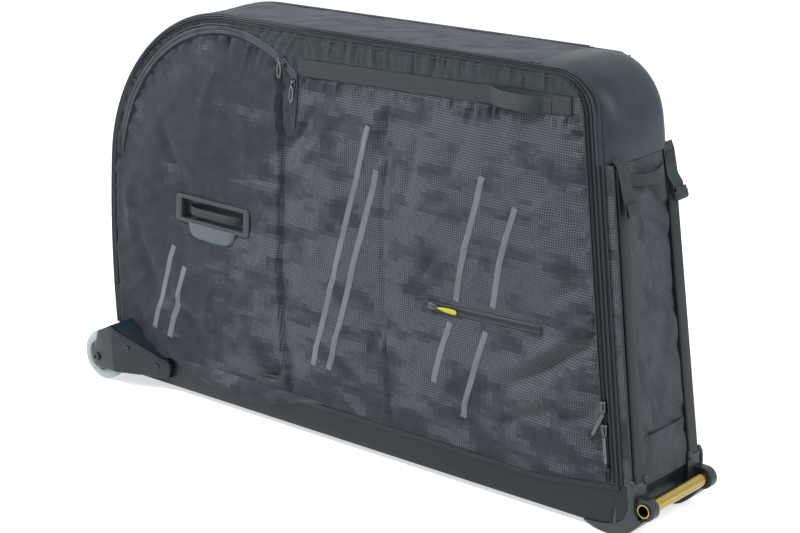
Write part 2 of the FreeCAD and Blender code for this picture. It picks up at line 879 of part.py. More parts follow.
# Zip sliders and their pulls
def slider_body(over):
    body = box(-slider_width / 2, slider_width / 2, -slider_length / 2, slider_length / 2,
               over + slider_ride, over + slider_ride + slider_height)
    rims = [e for e in body.Edges if e.CenterOfMass.z > over + slider_ride + 1]
    return body.makeFillet(slider_round, rims)


def zip_line_x(z):
    """Where the front run of the main zip is at a height."""
    middle = lid_front_inset - (zip_outer_width - zip_inner_width) / 2
    return front_x - middle / math.cos(lean) - (z - upright_z) * math.tan(lean)


def main_slider_frame(z):
    turn = FreeCAD.Placement(V(0, 0, 0), FreeCAD.Rotation(V(0, 0, 1), front_lean))
    return side_frame(zip_line_x(z), z).multiply(turn)


def main_slider(z):
    return placed(slider_body(zip_thickness + seam_gap), main_slider_frame(z))


def pull_pivot(over):
    """Middle of a pull's round upper end, just below its slider, in the slider's frame."""
    high = over + slider_ride + slider_height - pull_cord_radius
    return V(0, -slider_length / 2 - seam_gap - pull_cord_radius, high)


def hanging_pull(over):
    """A braided pull with a crimp and a cross bar, hanging from a slider's lower end."""
    top = pull_pivot(over)
    down = V(0, -1, 0)
    knob = Part.makeSphere(pull_cord_radius, top)
    cord = rod(top, down, pull_cord_radius, pull_length)
    crimp = rod(top + down * (pull_length - pull_crimp_length), down, pull_crimp_radius, pull_crimp_length)
    bar_start = top + down * (pull_length + pull_bar_radius - seam_gap) - V(pull_bar_length / 2, 0, 0)
    bar = rod(bar_start, V(1, 0, 0), pull_bar_radius, pull_bar_length)
    return knob.fuse([cord, crimp, bar]).removeSplitter()


def main_pull(z, leaning):
    over = zip_thickness + seam_gap
    pull = hanging_pull(over)
    pull.rotate(pull_pivot(over), V(0, 0, 1), -leaning)
    return placed(pull, main_slider_frame(z))


def wheel_slider_frame_upper():
    x, z = polar((dome_x, dome_centre_z), flap_radius, wheel_slider_angle)
    turn = FreeCAD.Placement(V(0, 0, 0), FreeCAD.Rotation(V(0, 0, 1), wheel_slider_angle))
    return side_frame(x, z).multiply(turn)


def tab_slider(lean_angle):
    """A small slider with its flat tab lying beside it."""
    over = wheel_zip_thickness + seam_gap
    body = slider_body(over + seam_gap)
    low = over + slider_ride + slider_height - wheel_tab_thickness
    tab = box(-wheel_tab_width / 2, wheel_tab_width / 2, -wheel_tab_length - slider_length / 4, 0,
              low - slider_round, low + wheel_tab_thickness - slider_round)
    eye = Part.makeCylinder(wheel_tab_width / 4, wheel_tab_thickness * 3,
                            V(0, -wheel_tab_length, low - slider_round - wheel_tab_thickness))
    tab = tab.cut(eye)
    tab.rotate(V(0, 0, 0), V(0, 0, 1), lean_angle)
    return body.fuse(tab).removeSplitter()


def wheel_slider_upper():
    return placed(tab_slider(-wheel_slider_angle), wheel_slider_frame_upper())


def wheel_slider_lower():
    x = dome_x + flap_right_reach
    return placed(tab_slider(0), side_frame(x, wheel_slider_b_z))


def pocket_zip():
    x = front_x - pocket_zip_back
    half = pocket_zip_width / 2
    end_x = x + pocket_zip_length
    end_z = pocket_zip_z + pocket_zip_rise
    band = polygon_prism([(x, pocket_zip_z - half), (end_x, end_z - half), (end_x, end_z + half),
                          (x, pocket_zip_z + half)])
    return band.common(side_slab(-pocket_zip_thickness - seam_gap, -seam_gap))


def pocket_slider_frame():
    x = front_x - pocket_zip_back + slider_length
    z = pocket_zip_z + pocket_zip_rise * slider_length / pocket_zip_length
    return side_frame(x, z)


def pocket_slider():
    body = slider_body(pocket_zip_thickness + seam_gap)
    body.rotate(V(0, 0, 0), V(0, 0, 1), 90)
    return placed(body, pocket_slider_frame())


def pocket_pull_pivot():
    over = pocket_zip_thickness + seam_gap + slider_ride
    return V(slider_length / 2 + seam_gap + wheel_tab_thickness / 2, 0, over + slider_height / 2)


def pocket_pull():
    """A flat tab along the zip, with a round end at the slider that it swings about."""
    pivot = pocket_pull_pivot()
    half = wheel_tab_width / 2
    half_deep = wheel_tab_thickness / 2
    tab = box(pivot.x, pivot.x + pocket_pull_length, -half, half, pivot.z - half_deep, pivot.z + half_deep)
    ends = [e for e in tab.Edges if abs(e.Vertexes[0].Z - e.Vertexes[1].Z) > half_deep
            and e.CenterOfMass.x > pivot.x + half]
    tab = tab.makeFillet(pocket_pull_round, ends)
    top = rod(pivot - V(0, half, 0), V(0, 1, 0), half_deep, wheel_tab_width)
    return placed(tab.fuse(top).removeSplitter(), pocket_slider_frame())


# Inside
def frame_pad():
    low_z = base_floor_z + base_wall + seam_gap + board_thickness + seam_gap
    pad = box(frame_pad_x - frame_pad_length / 2, frame_pad_x + frame_pad_length / 2,
              -frame_pad_width / 2, frame_pad_width / 2, low_z, low_z + frame_pad_height)
    rims = [e for e in pad.Edges if e.CenterOfMass.z > low_z + 1]
    return pad.makeFillet(frame_pad_round, rims)


left_foot = front_foot()
left_housing = wheel_housing()
left_cover = wheel_cover()
left_strut = front_strut()
left_flap = wheel_flap()
left_wheel_zip = wheel_zip()
left_liner = wheel_liner()
left_pocket_gusset = pocket_gusset()
left_grip_plate = grip_plate()
left_webbing = side_webbing()
left_carry = carry_handle()
left_grip = side_grip()
left_wheel_slider = wheel_slider_upper()

nodes = {
    "base_tub": base_tub(),
    "base_board": base_board(),
    "base_trims": base_trims(),
    "front_foot_left": left_foot,
    "front_foot_right": mirrored(left_foot),
    "foot_bolts": foot_bolts(),
    "axle_tube": axle_tube(),
    "wheel_housing_left": left_housing,
    "wheel_housing_right": mirrored(left_housing),
    "wheel_cover_left": left_cover,
    "wheel_cover_right": mirrored(left_cover),
    "cover_screws": cover_screws(),
    "wheel_axles": wheel_axles(),
    "wheel_tyre_left": wheel_tyre(),
    "wheel_tyre_right": mirrored(wheel_tyre()),
    "wheel_hub_left": wheel_hub(),
    "wheel_hub_right": mirrored(wheel_hub()),
    "wheel_bearings_left": wheel_bearings(),
    "wheel_bearings_right": mirrored(wheel_bearings()),
    "gusset_rear_top": gusset(),
    "hood": hood(),
    "front_panel": front_panel(),
    "front_pocket": front_pocket(),
    "front_strut_left": left_strut,
    "front_strut_right": mirrored(left_strut),
    "strut_rods": strut_rods(),
    "hood_straps": hood_straps(),
    "strap_buckle": strap_buckle(),
    "front_handle": front_handle(),
    "side_border_left": side_border(),
    "side_wall_right": side_wall(),
    "lid_panel": lid_panel(),
    "main_zip": main_zip(),
    "wheel_flap_left": left_flap,
    "wheel_flap_right": mirrored(left_flap),
    "wheel_zip_left": left_wheel_zip,
    "wheel_zip_right": mirrored(left_wheel_zip),
    "wheel_liner_left": left_liner,
    "wheel_liner_right": mirrored(left_liner),
    "pocket_gusset_left": left_pocket_gusset,
    "pocket_gusset_right": mirrored(left_pocket_gusset),
    "grip_plate_left": left_grip_plate,
    "grip_plate_right": mirrored(left_grip_plate),
    "side_grip_left": left_grip,
    "side_grip_right": mirrored(left_grip),
    "side_webbing_left": left_webbing,
    "side_webbing_right": mirrored(left_webbing),
    "carry_handle_left": left_carry,
    "carry_handle_right": mirrored(left_carry),
    "wheel_slider_left": left_wheel_slider,
    "wheel_slider_right": mirrored(left_wheel_slider),
    "wheel_slider_side": wheel_slider_lower(),
    "main_slider_upper": main_slider(upper_slider_z),
    "main_slider_lower": main_slider(lower_slider_z),
    "main_pull_upper": main_pull(upper_slider_z, pull_lean),
    "main_pull_lower": main_pull(lower_slider_z, 0),
    "pocket_zip": pocket_zip(),
    "pocket_slider": pocket_slider(),
    "pocket_pull": pocket_pull(),
    "frame_pad": frame_pad(),
}

os.makedirs("parts", exist_ok=True)
for name, shape in nodes.items():
    shape.exportStep("parts/" + name + ".step")
    size = shape.BoundBox
    print(name, len(shape.Solids), shape.isValid(), round(shape.Volume),
          [round(v, 1) for v in (size.XMin, size.XMax, size.YMin, size.YMax, size.ZMin, size.ZMax)])
print(len(nodes), "nodes")
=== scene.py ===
from math import atan2, cos, degrees, dist, exp, hypot, pi, radians, sin, sqrt, tan, tau
import bmesh
import bpy
import numpy as np
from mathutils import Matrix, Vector, kdtree, noise


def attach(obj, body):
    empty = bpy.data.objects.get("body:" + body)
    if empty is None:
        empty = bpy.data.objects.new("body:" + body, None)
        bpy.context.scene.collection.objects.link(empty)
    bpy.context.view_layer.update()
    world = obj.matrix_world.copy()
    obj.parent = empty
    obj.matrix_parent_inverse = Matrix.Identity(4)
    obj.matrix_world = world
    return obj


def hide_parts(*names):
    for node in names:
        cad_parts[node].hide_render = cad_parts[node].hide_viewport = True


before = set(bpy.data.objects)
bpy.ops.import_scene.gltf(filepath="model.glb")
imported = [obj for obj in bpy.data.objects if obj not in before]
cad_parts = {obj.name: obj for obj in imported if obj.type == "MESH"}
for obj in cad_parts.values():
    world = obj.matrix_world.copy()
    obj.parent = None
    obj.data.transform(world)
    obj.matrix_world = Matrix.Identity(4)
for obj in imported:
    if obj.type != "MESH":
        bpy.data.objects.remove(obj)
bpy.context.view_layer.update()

scene = bpy.context.scene
ripple = noise.noise
mm = 0.001
sides = ((-1, "left", "side_lid"), (1, "right", "bag"))   # sign of Y, word in names, body of the side's cloth

# The bag's side view in millimetres: X forwards, Z up, the lid on the -Y side
bag = {
    "frontX": 642, "rearX": -671, "kneeZ": 105, "frontLean": 7.2, "topSlope": 1.36, "corner": 110,
    "domeRadius": 328, "domeX": -343, "domeZ": 465, "backRadius": 2080, "backEnd": 192.9,
    "lowFront": 102, "lowRear": 140, "highFront": 86, "highRear": 72, "highZ": 810,
    "baseTop": 70, "baseRise": 28, "riseLength": 190, "hoodX": 400, "hoodZ": 655,
    "hemGap": 3.5, "climbX": -438, "climb": 0.595,
}
zipInset = (12.5, 46.5, 69.5)
hoodInset = (3.0, 34, 80)
webStart, webEnd = (-145, 721), (482, 748)


def halfWidth(x, z):
    back = (bag["frontX"] - x) / (bag["frontX"] - bag["rearX"])
    low = bag["lowFront"] + (bag["lowRear"] - bag["lowFront"]) * back
    high = bag["highFront"] + (bag["highRear"] - bag["highFront"]) * back
    return low + (high - low) * (z - bag["baseTop"]) / (bag["highZ"] - bag["baseTop"])


def baseLine(x):
    rise = (x - bag["frontX"] + bag["riseLength"]) / bag["riseLength"]
    return bag["baseTop"] + bag["baseRise"] * min(max(rise, 0), 1)


# The lid's lower edge climbs over the wheel housing at the back
def hemLine(x):
    return baseLine(x) + bag["hemGap"] + max(bag["climbX"] - x, 0) * bag["climb"]


def frontX(z, off=0):
    lean = radians(bag["frontLean"])
    return bag["frontX"] - max(z - bag["kneeZ"], 0) * tan(lean) + off / cos(lean)


def sidePoint(x, z, out=0.0, side=-1):
    return Vector((x, side * (halfWidth(x, z) + out), z)) * mm


def frontPoint(z, off, y):
    return Vector((frontX(z, off), y, z)) * mm


def resample(line, step):
    points = np.array(line, float)
    run = np.concatenate([[0], np.cumsum(np.hypot(*np.diff(points, axis=0).T))])
    count = max(int(round(run[-1] / step)), 1)
    at = np.linspace(0, run[-1], count + 1)
    return [tuple(p) for p in np.stack([np.interp(at, run, points[:, k]) for k in (0, 1)], 1)]


def turnRun(cx, cz, radius, start, end, count=40):
    angles = [radians(start + (end - start) * k / count) for k in range(count + 1)]
    return [(cx + radius * cos(a), cz + radius * sin(a)) for a in angles]


# Outline from the foot of the front, over the top and dome, to the foot of the back
def sideView(inset=0, frontInset=0, corner=bag["corner"], step=6.0):
    lean, slope = radians(bag["frontLean"]), radians(bag["topSlope"])
    front, top = (cos(lean), sin(lean)), (-sin(slope), cos(slope))
    reach = bag["domeRadius"] - inset
    atFront = bag["frontX"] * front[0] + bag["kneeZ"] * front[1] - frontInset - corner
    atTop = bag["domeX"] * top[0] + bag["domeZ"] * top[1] + reach - corner
    det = front[0] * top[1] - front[1] * top[0]
    cx = (atFront * top[1] - front[1] * atTop) / det
    cz = (front[0] * atTop - atFront * top[0]) / det
    kneeX = bag["frontX"] - frontInset
    kneeZ = (atFront + corner - kneeX * front[0]) / front[1]
    line = [(kneeX, 0), (kneeX, kneeZ)]
    line += turnRun(cx, cz, corner, bag["frontLean"], 90 + bag["topSlope"])
    line += turnRun(bag["domeX"], bag["domeZ"], reach, 90 + bag["topSlope"], 180)
    backX, radius = bag["rearX"] + bag["backRadius"], bag["backRadius"] - inset
    line += turnRun(backX, bag["domeZ"], radius, 180, bag["backEnd"])[1:]
    return resample(line, step)


# Points of a line with the direction that leads out of the bag there
def framesAlong(line):
    points = np.array(line)
    runs = np.gradient(points, axis=0)
    runs /= np.linalg.norm(runs, axis=1)[:, None]
    return [((x, z), (rz, -rx)) for (x, z), (rx, rz) in zip(points, runs)]


def boxLoop(ax, az, bx, bz):
    return resample([(ax, az), (bx, az), (bx, bz), (ax, bz), (ax, az)], 4)


def clipAbove(line, floor, count=120):
    kept = [p for p in line if p[1] > floor(p[0])]
    first, last = kept[0], kept[-1]
    foot = [(last[0] + (first[0] - last[0]) * k / count) for k in range(count + 1)]
    return kept + [(x, floor(x)) for x in foot]


flapShape = {"radius": 298, "endAngle": 178, "reach": 178, "hingeZ": 600}


def flapOutline(drop):
    cx, cz, radius = bag["domeX"], bag["domeZ"], flapShape["radius"]
    turn = radians(flapShape["endAngle"])
    left = (cx + radius * cos(turn), cz + radius * sin(turn))
    right = (cx + flapShape["reach"], flapShape["hingeZ"])
    length = dist(left, right)
    run = ((right[0] - left[0]) / length, (right[1] - left[1]) / length)
    down = (run[1] * drop, -run[0] * drop)
    topZ = cz + sqrt(radius ** 2 - (right[0] - cx) ** 2)
    arc = turnRun(cx, cz, radius, degrees(atan2(topZ - cz, right[0] - cx)), flapShape["endAngle"])
    low = (left[0] + down[0], left[1] + down[1])
    lowRight = (right[0] + down[0], right[1] + down[1])
    return resample([low, lowRight] + arc + [low], 5), arc, [right, (right[0], topZ)]


def webbingZ(x):
    return webStart[1] + (webEnd[1] - webStart[1]) * (x - webStart[0]) / (webEnd[0] - webStart[0])


def treeOf(points):
    tree = kdtree.KDTree(len(points))
    for k, (x, z) in enumerate(points):
        tree.insert((x, 0, z), k)
    tree.balance()
    return tree


# Small modelling helpers
def deselect():
    bpy.ops.object.select_all(action="DESELECT")


def makeActive(*pieces):
    deselect()
    for piece in pieces:
        piece.select_set(True)
    bpy.context.view_layer.objects.active = pieces[0]


def newest(name):
    obj = bpy.context.object
    obj.name = obj.data.name = name
    return obj


def applyModifier(obj, kind, **settings):
    makeActive(obj)
    modifier = obj.modifiers.new(kind, kind)
    for key, value in settings.items():
        setattr(modifier, key, value)
    bpy.ops.object.modifier_apply(modifier=modifier.name)


# Edit operators, each run on the whole mesh
def inEditMode(obj, *steps):
    makeActive(obj)
    bpy.ops.object.mode_set(mode="EDIT")
    for operator, settings in steps:
        bpy.ops.mesh.select_all(action="SELECT")
        operator(**settings)
    bpy.ops.object.mode_set(mode="OBJECT")


def runLengths(points):
    return [0.0] + list(np.cumsum([(b - a).length for a, b in zip(points, points[1:])]))


# One grid primitive, its points moved to rows of places; the cloth map holds metres along and across.
# out is the way the faces look, or a function that gives it for a place
def rowsPiece(name, rows, out=None, thick=0.0, wrap=False):
    deselect()
    across, along = len(rows[0]), len(rows)
    bpy.ops.mesh.primitive_grid_add(x_subdivisions=across - 1, y_subdivisions=along - 1, size=1, location=(0, 0, 0))
    obj = newest(name)
    bm = bmesh.new()
    bm.from_mesh(obj.data)
    for vert, place in zip(bm.verts, [p for row in rows for p in row]):
        vert.co = place
    widths, lengths = runLengths(rows[along // 2]), runLengths([row[across // 2] for row in rows])
    cloth = bm.loops.layers.uv.new("cloth")
    for face in bm.faces:
        for loop in face.loops:
            row, column = divmod(loop.vert.index, across)
            loop[cloth].uv = (lengths[row], widths[column])
    if wrap:
        bmesh.ops.remove_doubles(bm, verts=bm.verts, dist=1e-5)
        bmesh.ops.recalc_face_normals(bm, faces=bm.faces)
    if out is not None:
        bm.normal_update()
        aim = out if callable(out) else lambda place: Vector(out)
        if sum(f.normal.dot(aim(f.calc_center_median())) * f.calc_area() for f in bm.faces) < 0:
            bmesh.ops.reverse_faces(bm, faces=bm.faces)
    bm.to_mesh(obj.data)
    bm.free()
    if thick:
        applyModifier(obj, "SOLIDIFY", thickness=thick * mm, offset=-1.0)
    return obj


# A CAD piece's mesh, merged and with its edges rounded off
def softenedCopy(name, node, width, angle=40):
    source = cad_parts[node]
    mesh = source.data.copy()
    mesh.transform(source.matrix_world)
    obj = bpy.data.objects.new(name, mesh)
    scene.collection.objects.link(obj)
    bm = bmesh.new()
    bm.from_mesh(mesh)
    bmesh.ops.remove_doubles(bm, verts=bm.verts, dist=1e-5)
    bmesh.ops.dissolve_limit(bm, angle_limit=radians(1), verts=bm.verts, edges=bm.edges)
    bm.to_mesh(mesh)
    bm.free()
    applyModifier(obj, "BEVEL", width=width * mm, segments=3, limit_method="ANGLE", angle_limit=radians(angle))
    return obj


def joinPieces(pieces, name):
    makeActive(*pieces)
    bpy.ops.object.join()
    return newest(name)


# second tells which faces take the second of two materials
def dress(obj, body, slot, materials, *nodes, angle=60, second=None):
    obj.data.materials.clear()
    for material in materials if isinstance(materials, list) else [materials]:
        obj.data.materials.append(material)
    makeActive(obj)
    bpy.ops.object.shade_smooth_by_angle(angle=radians(angle))
    if second:
        for face in obj.data.polygons:
            face.material_index = int(second(face))
    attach(obj, body)
    if nodes:
        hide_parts(*nodes)


# Materials
waveMm = 314   # a wave texture of scale s has bands 314 / s millimetres apart


def linear(code):
    parts = [int(code[k:k + 2], 16) / 255 for k in (1, 3, 5)]
    return tuple(c / 12.92 if c <= 0.04045 else ((c + 0.055) / 1.055) ** 2.4 for c in parts) + (1.0,)


# Sockets take a value, another socket or a node's first output
def fill(tree, node, links):
    for socket, value in links.items():
        if isinstance(value, bpy.types.Node):
            value = value.outputs[0]
        if isinstance(value, bpy.types.NodeSocket):
            tree.links.new(value, node.inputs[socket])
        else:
            node.inputs[socket].default_value = value


def add(tree, kind, links, stops=(), **settings):
    made = tree.nodes.new("ShaderNode" + kind)
    for k, (at, code) in enumerate(stops):
        made.color_ramp.elements[k].position = at
        made.color_ramp.elements[k].color = linear(code)
    for key, value in settings.items():
        setattr(made, key, value)
    fill(tree, made, links)
    return made


def startMaterial(name, **sockets):
    material = bpy.data.materials.new(name)
    material.use_nodes = True
    tree = material.node_tree
    shader = tree.nodes["Principled BSDF"]
    for key, value in sockets.items():
        shader.inputs[key.replace("_", " ")].default_value = value
    return material, tree, shader


# Woven polyester: matt, with threads that catch light and a slightly uneven dye; printed dots in stepped clouds, fewer
# towards the rear; the hem setting thins the dots and their pale haze low down, as painted shade
def wovenCloth(name, dark, light, thread=2.6, dots=None, rough=0.72):
    material, tree, shader = startMaterial(name, Roughness=rough, Specular_IOR_Level=0.22, Sheen_Weight=0.03,
                                           Sheen_Roughness=0.5)
    cloth = add(tree, "UVMap", {}, uv_map="cloth")
    # Threads drawn coarser than real
    warp, weft = [add(tree, "TexWave", {"Vector": cloth, "Scale": waveMm / thread, "Distortion": 0.6},
                      bands_direction=way).outputs["Fac"] for way in "XY"]
    weave = add(tree, "Math", {0: warp, 1: weft}, operation="MULTIPLY")
    dye = add(tree, "TexNoise", {"Vector": cloth, "Scale": 34.0, "Detail": 6.0, "Roughness": 0.65})
    mixed = add(tree, "Math", {0: weave, 1: 0.45, 2: dye}, operation="MULTIPLY_ADD")
    colour = add(tree, "ValToRGB", {"Fac": mixed}, stops=((0.32, dark), (0.95, light)))
    if dots:
        spaced = add(tree, "VectorMath", {0: cloth, "Scale": 1000 / dots["pitch"]}, operation="SCALE")
        cell = add(tree, "VectorMath", {0: spaced}, operation="FRACTION")
        shifted = add(tree, "VectorMath", {0: cell, 1: (0.5, 0.5, 0.0)}, operation="SUBTRACT")
        away = add(tree, "VectorMath", {0: shifted}, operation="LENGTH").outputs["Value"]
        wide = add(tree, "VectorMath", {0: spaced, 1: dots["block"]}, operation="DIVIDE")
        whole = add(tree, "VectorMath", {0: wide}, operation="FLOOR")
        block = add(tree, "VectorMath", {0: whole, 1: dots["cloud"]}, operation="MULTIPLY")
        cloud = add(tree, "TexNoise", {"Vector": block, "Scale": 1.0, "Detail": 2.0, "Roughness": 0.6})
        parts = add(tree, "SeparateXYZ", {0: cloth}).outputs
        along = add(tree, "Math", {0: parts["Y"], 1: -0.6, 2: parts["X"]}, operation="MULTIPLY_ADD")
        rear = add(tree, "MapRange", {"Value": along, **dots["rear"]})
        # Painted shade: the hem range thins the dots and the pale haze low on the cloth, so its lower part is darker
        hem = add(tree, "MapRange", {"Value": parts["Y"], **dots["hem"]})
        less = add(tree, "Math", {0: rear, 1: hem})
        more = add(tree, "Math", {0: cloud, 1: less})
        size, haze = [add(tree, "MapRange", {"Value": more, "Steps": 4.0, **dots[key]}, interpolation_type="STEPPED")
                      for key in ("size", "haze")]
        gap = add(tree, "Math", {0: size, 1: away}, operation="SUBTRACT")
        inked = add(tree, "MapRange", {"Value": gap, 1: 0.0, 2: 0.12, 3: 0.0, 4: dots["strength"]})
        mask = add(tree, "Math", {0: inked, 1: haze}, operation="MAXIMUM")
        colour = add(tree, "Mix", {0: mask, 6: colour, 7: linear(dots["colour"])}, data_type="RGBA").outputs[2]
    bump = add(tree, "Bump", {"Height": mixed, "Strength": 0.4, "Distance": 0.0008})
    fill(tree, shader, {"Base Color": colour, "Normal": bump})
    return material


# Coated or moulded surfaces: a fine grain from the mould or calender, seen as soft uneven gloss.
# The painted-light argument is a height in metres, a height above it and how much paler the surface is painted from the
# first one down; this paler part is painted light
def grained(name, dark, light, rough, grain=1.6, bump=0.25, paintedLightBelow=None, **sockets):
    material, tree, shader = startMaterial(name, **sockets)
    place = add(tree, "TexCoord", {}).outputs["Object"]
    fine = add(tree, "TexNoise", {"Vector": place, "Scale": 1000 / grain, "Detail": 3.0})
    broad = add(tree, "TexNoise", {"Vector": place, "Scale": 16.0, "Detail": 5.0})
    mixed = add(tree, "Math", {0: fine, 1: 0.35, 2: broad}, operation="MULTIPLY_ADD")
    # Painted light: the colour is paler below the given height
    if paintedLightBelow:
        height = add(tree, "SeparateXYZ", {0: place}).outputs["Z"]
        paler = add(tree, "MapRange", {"Value": height, 1: paintedLightBelow[0], 2: paintedLightBelow[1], 3: paintedLightBelow[2], 4: 0.0})
        mixed = add(tree, "Math", {0: mixed, 1: paler})
    colour = add(tree, "ValToRGB", {"Fac": mixed}, stops=((0.4, dark), (1.0, light)))
    worn = add(tree, "MapRange", {"Value": broad, 1: 0.3, 2: 0.7, 3: rough - 0.06, 4: rough + 0.06})
    grainBump = add(tree, "Bump", {"Height": fine, "Strength": bump, "Distance": 0.0004})
    fill(tree, shader, {"Base Color": colour, "Roughness": worn, "Normal": grainBump})
    return material


# Flat webbing: rows of ribs across its width, with a tight herringbone along them
def webbing(name, dark, light, rib=3.2):
    material, tree, shader = startMaterial(name, Roughness=0.6, Specular_IOR_Level=0.3, Sheen_Weight=0.05)
    cloth = add(tree, "UVMap", {}, uv_map="cloth")
    ribs, cross = [add(tree, "TexWave", {"Vector": cloth, "Scale": waveMm / pitch, "Distortion": bent},
                       bands_direction=way).outputs["Fac"]
                   for pitch, bent, way in ((rib, 0.4, "Y"), (rib * 0.8, 1.0, "DIAGONAL"))]
    both = add(tree, "Math", {0: cross, 1: 0.4, 2: ribs}, operation="MULTIPLY_ADD")
    colour = add(tree, "ValToRGB", {"Fac": both}, stops=((0.1, dark), (1.0, light)))
    bump = add(tree, "Bump", {"Height": both, "Strength": 0.5, "Distance": 0.0008})
    fill(tree, shader, {"Base Color": colour, "Normal": bump})
    return material


# Metals: drawn or turned, so fine lines run round or along the piece
def metal(name, dark, light, rough, lines=2.0, stretch=(1, 30, 1)):
    material, tree, shader = startMaterial(name, Metallic=1.0)
    place = add(tree, "TexCoord", {}).outputs["Object"]
    along = add(tree, "Mapping", {"Vector": place, "Scale": tuple(1000 / lines / s for s in stretch)})
    drawn = add(tree, "TexNoise", {"Vector": along, "Scale": 1.0, "Detail": 4.0})
    colour = add(tree, "ValToRGB", {"Fac": drawn}, stops=((0.25, dark), (0.8, light)))
    gloss = add(tree, "MapRange", {"Value": drawn, 1: 0.2, 2: 0.8, 3: rough - 0.08, 4: rough + 0.08})
    fill(tree, shader, {"Base Color": colour, "Roughness": gloss})
    return material


# Numbered values go to a Map Range: from low, from high, to low, to high
sideDots = {
    "pitch": 4.6, "block": (3.0, 2.0, 1.0), "cloud": (0.12, 0.17, 1.0), "colour": "#8f949b", "strength": 0.46,
    "size": {1: 0.42, 2: 0.60, 3: 0.02, 4: 0.36}, "haze": {1: 0.40, 2: 0.56, 3: 0.0, 4: 0.066},
    # hem: fewer dots and less haze low on the side, painted shade
    "rear": {1: -0.70, 2: -0.36, 3: -0.17, 4: 0.085}, "hem": {1: 0.06, 2: 0.28, 3: -0.12, 4: 0.0},
}
bandDots = {**sideDots, "strength": 0.26, "haze": {**sideDots["haze"], 4: 0.03}, "hem": {**sideDots["hem"], 3: 0.0}}
sideCloth = wovenCloth("wovenPolyesterSide", "#24272e", "#3a3d46", dots=sideDots)
bandCloth = wovenCloth("wovenPolyesterBand", "#2c2f36", "#454850", dots=bandDots)
pleatCloth = wovenCloth("coatedPolyesterPleats", "#222a2e", "#384248", thread=2.2, rough=0.5)
liningCloth = wovenCloth("ripstopLining", "#4a4d51", "#686b70", thread=3.4)
# The hood's lower front is painted paler: painted light for the brighter light it takes there
hoodCoat = grained("coatedTarpaulinHood", "#20292e", "#37434a", 0.44, grain=1.2, bump=0.15, paintedLightBelow=(0.60, 0.76, 0.45),
                   Specular_IOR_Level=0.22)
baseSheet = grained("laminatedTarpaulinBase", "#0d1218", "#182029", 0.42, grain=1.8, Specular_IOR_Level=0.3)
trimRubber = grained("softPvcTrim", "#10191c", "#1e292d", 0.42, grain=1.0, Specular_IOR_Level=0.28)
greyMoulding = grained("mouldedNylonFeet", "#1b2225", "#2c3539", 0.38, grain=1.4, Specular_IOR_Level=0.45)
blackMoulding = grained("mouldedAbsHousing", "#131c22", "#26323a", 0.3, grain=1.2, bump=0.1, Specular_IOR_Level=0.3,
                        Coat_Weight=0.1, Coat_Roughness=0.15)
rubberPlate = grained("mouldedRubberPlate", "#252d32", "#39434a", 0.46, grain=1.2, Specular_IOR_Level=0.4)
rubberTongue = grained("mouldedRubberTongue", "#485359", "#5f6b71", 0.5, grain=1.2, Specular_IOR_Level=0.4)
weltCloth = grained("boundEdgeWelt", "#20262e", "#353c46", 0.55, grain=0.9, Specular_IOR_Level=0.35)
boardSheet = grained("polypropyleneBoard", "#4a4c50", "#5c5f63", 0.55)
padCloth = wovenCloth("paddedRestCloth", "#25272b", "#3a3d41", thread=3.0)
strapWeb = webbing("nylonWebbing", "#171e21", "#2d373b")
zipTape = webbing("zipTape", "#0f1318", "#22272e", rib=1.8)
zipCoil = grained("nylonZipCoil", "#10161b", "#232b33", 0.4, grain=0.8, Specular_IOR_Level=0.25)
sliderMetal = metal("paintedZincSlider", "#1c2125", "#6a7278", 0.28, lines=1.2)
pullCord = webbing("braidedPullCord", "#0c1014", "#848c92", rib=4.4)
yellowTab = webbing("yellowPullTape", "#a79a16", "#e4da49", rib=1.8)
goldTube = metal("goldAnodisedTube", "#8d7838", "#c8b470", 0.24, lines=6.0, stretch=(0.4, 60, 0.4))
screwSteel = metal("blackenedSteelScrew", "#2a2c2e", "#55585a", 0.38, lines=0.8)
bearingSteel = metal("bearingSteel", "#8d9194", "#c4c7c9", 0.25)
wheelTread = grained("castPolyurethaneTyre", "#8ea3a7", "#bccbce", 0.25, grain=2.0, Subsurface_Weight=0.25,
                     Subsurface_Radius=(0.01, 0.011, 0.012))
wheelCore = grained("mouldedNylonHub", "#8f999b", "#b4bdbe", 0.42)
glassRod = grained("glassFibreRod", "#c9c4a6", "#e1dcc2", 0.4)
filmStripe = grained("reflectiveFilm", "#525b60", "#70797e", 0.42, grain=1.5, Specular_IOR_Level=0.5)
print("materials made")

# Where the cloth is sewn: it is held down at each line and puckers beside it
zipRun = sideView(*zipInset, 4)
zipLine = [p for p in zipRun if p[1] > hemLine(p[0]) + 0.5]
tailLine = [p for p in zipRun if p[0] < -500 and 118 < p[1] < hemLine(p[0]) + 0.5]
flapLoop, flapArc, flapSide = flapOutline(0)
pocketStart, pocketEnd = (175, 329), (438, 339)
gripX, gripZ = -375, 391
frontSeam = [(96, 726), (80, 640), (64, 504), (74, 314), (87, 199), (106, 76)]
rearSeam = [(-204, 700), (-199, 637), (-191, 545), (-189, 457), (-189, 337), (-174, 198), (-152, 80)]
hoodInner = sideView(*hoodInset, 3)
seamStep = 3


def onHood(x, z, lap=0):
    return x > bag["hoodX"] - lap and z > bag["hoodZ"] - lap


def sewnLine(line, ruck=4.0, reach=26, pitch=20, groove=1.2, half=0.0, lean=0.0):
    return {"line": resample(line, seamStep), "ruck": ruck, "reach": reach, "pitch": pitch, "groove": groove,
            "half": half, "lean": lean}


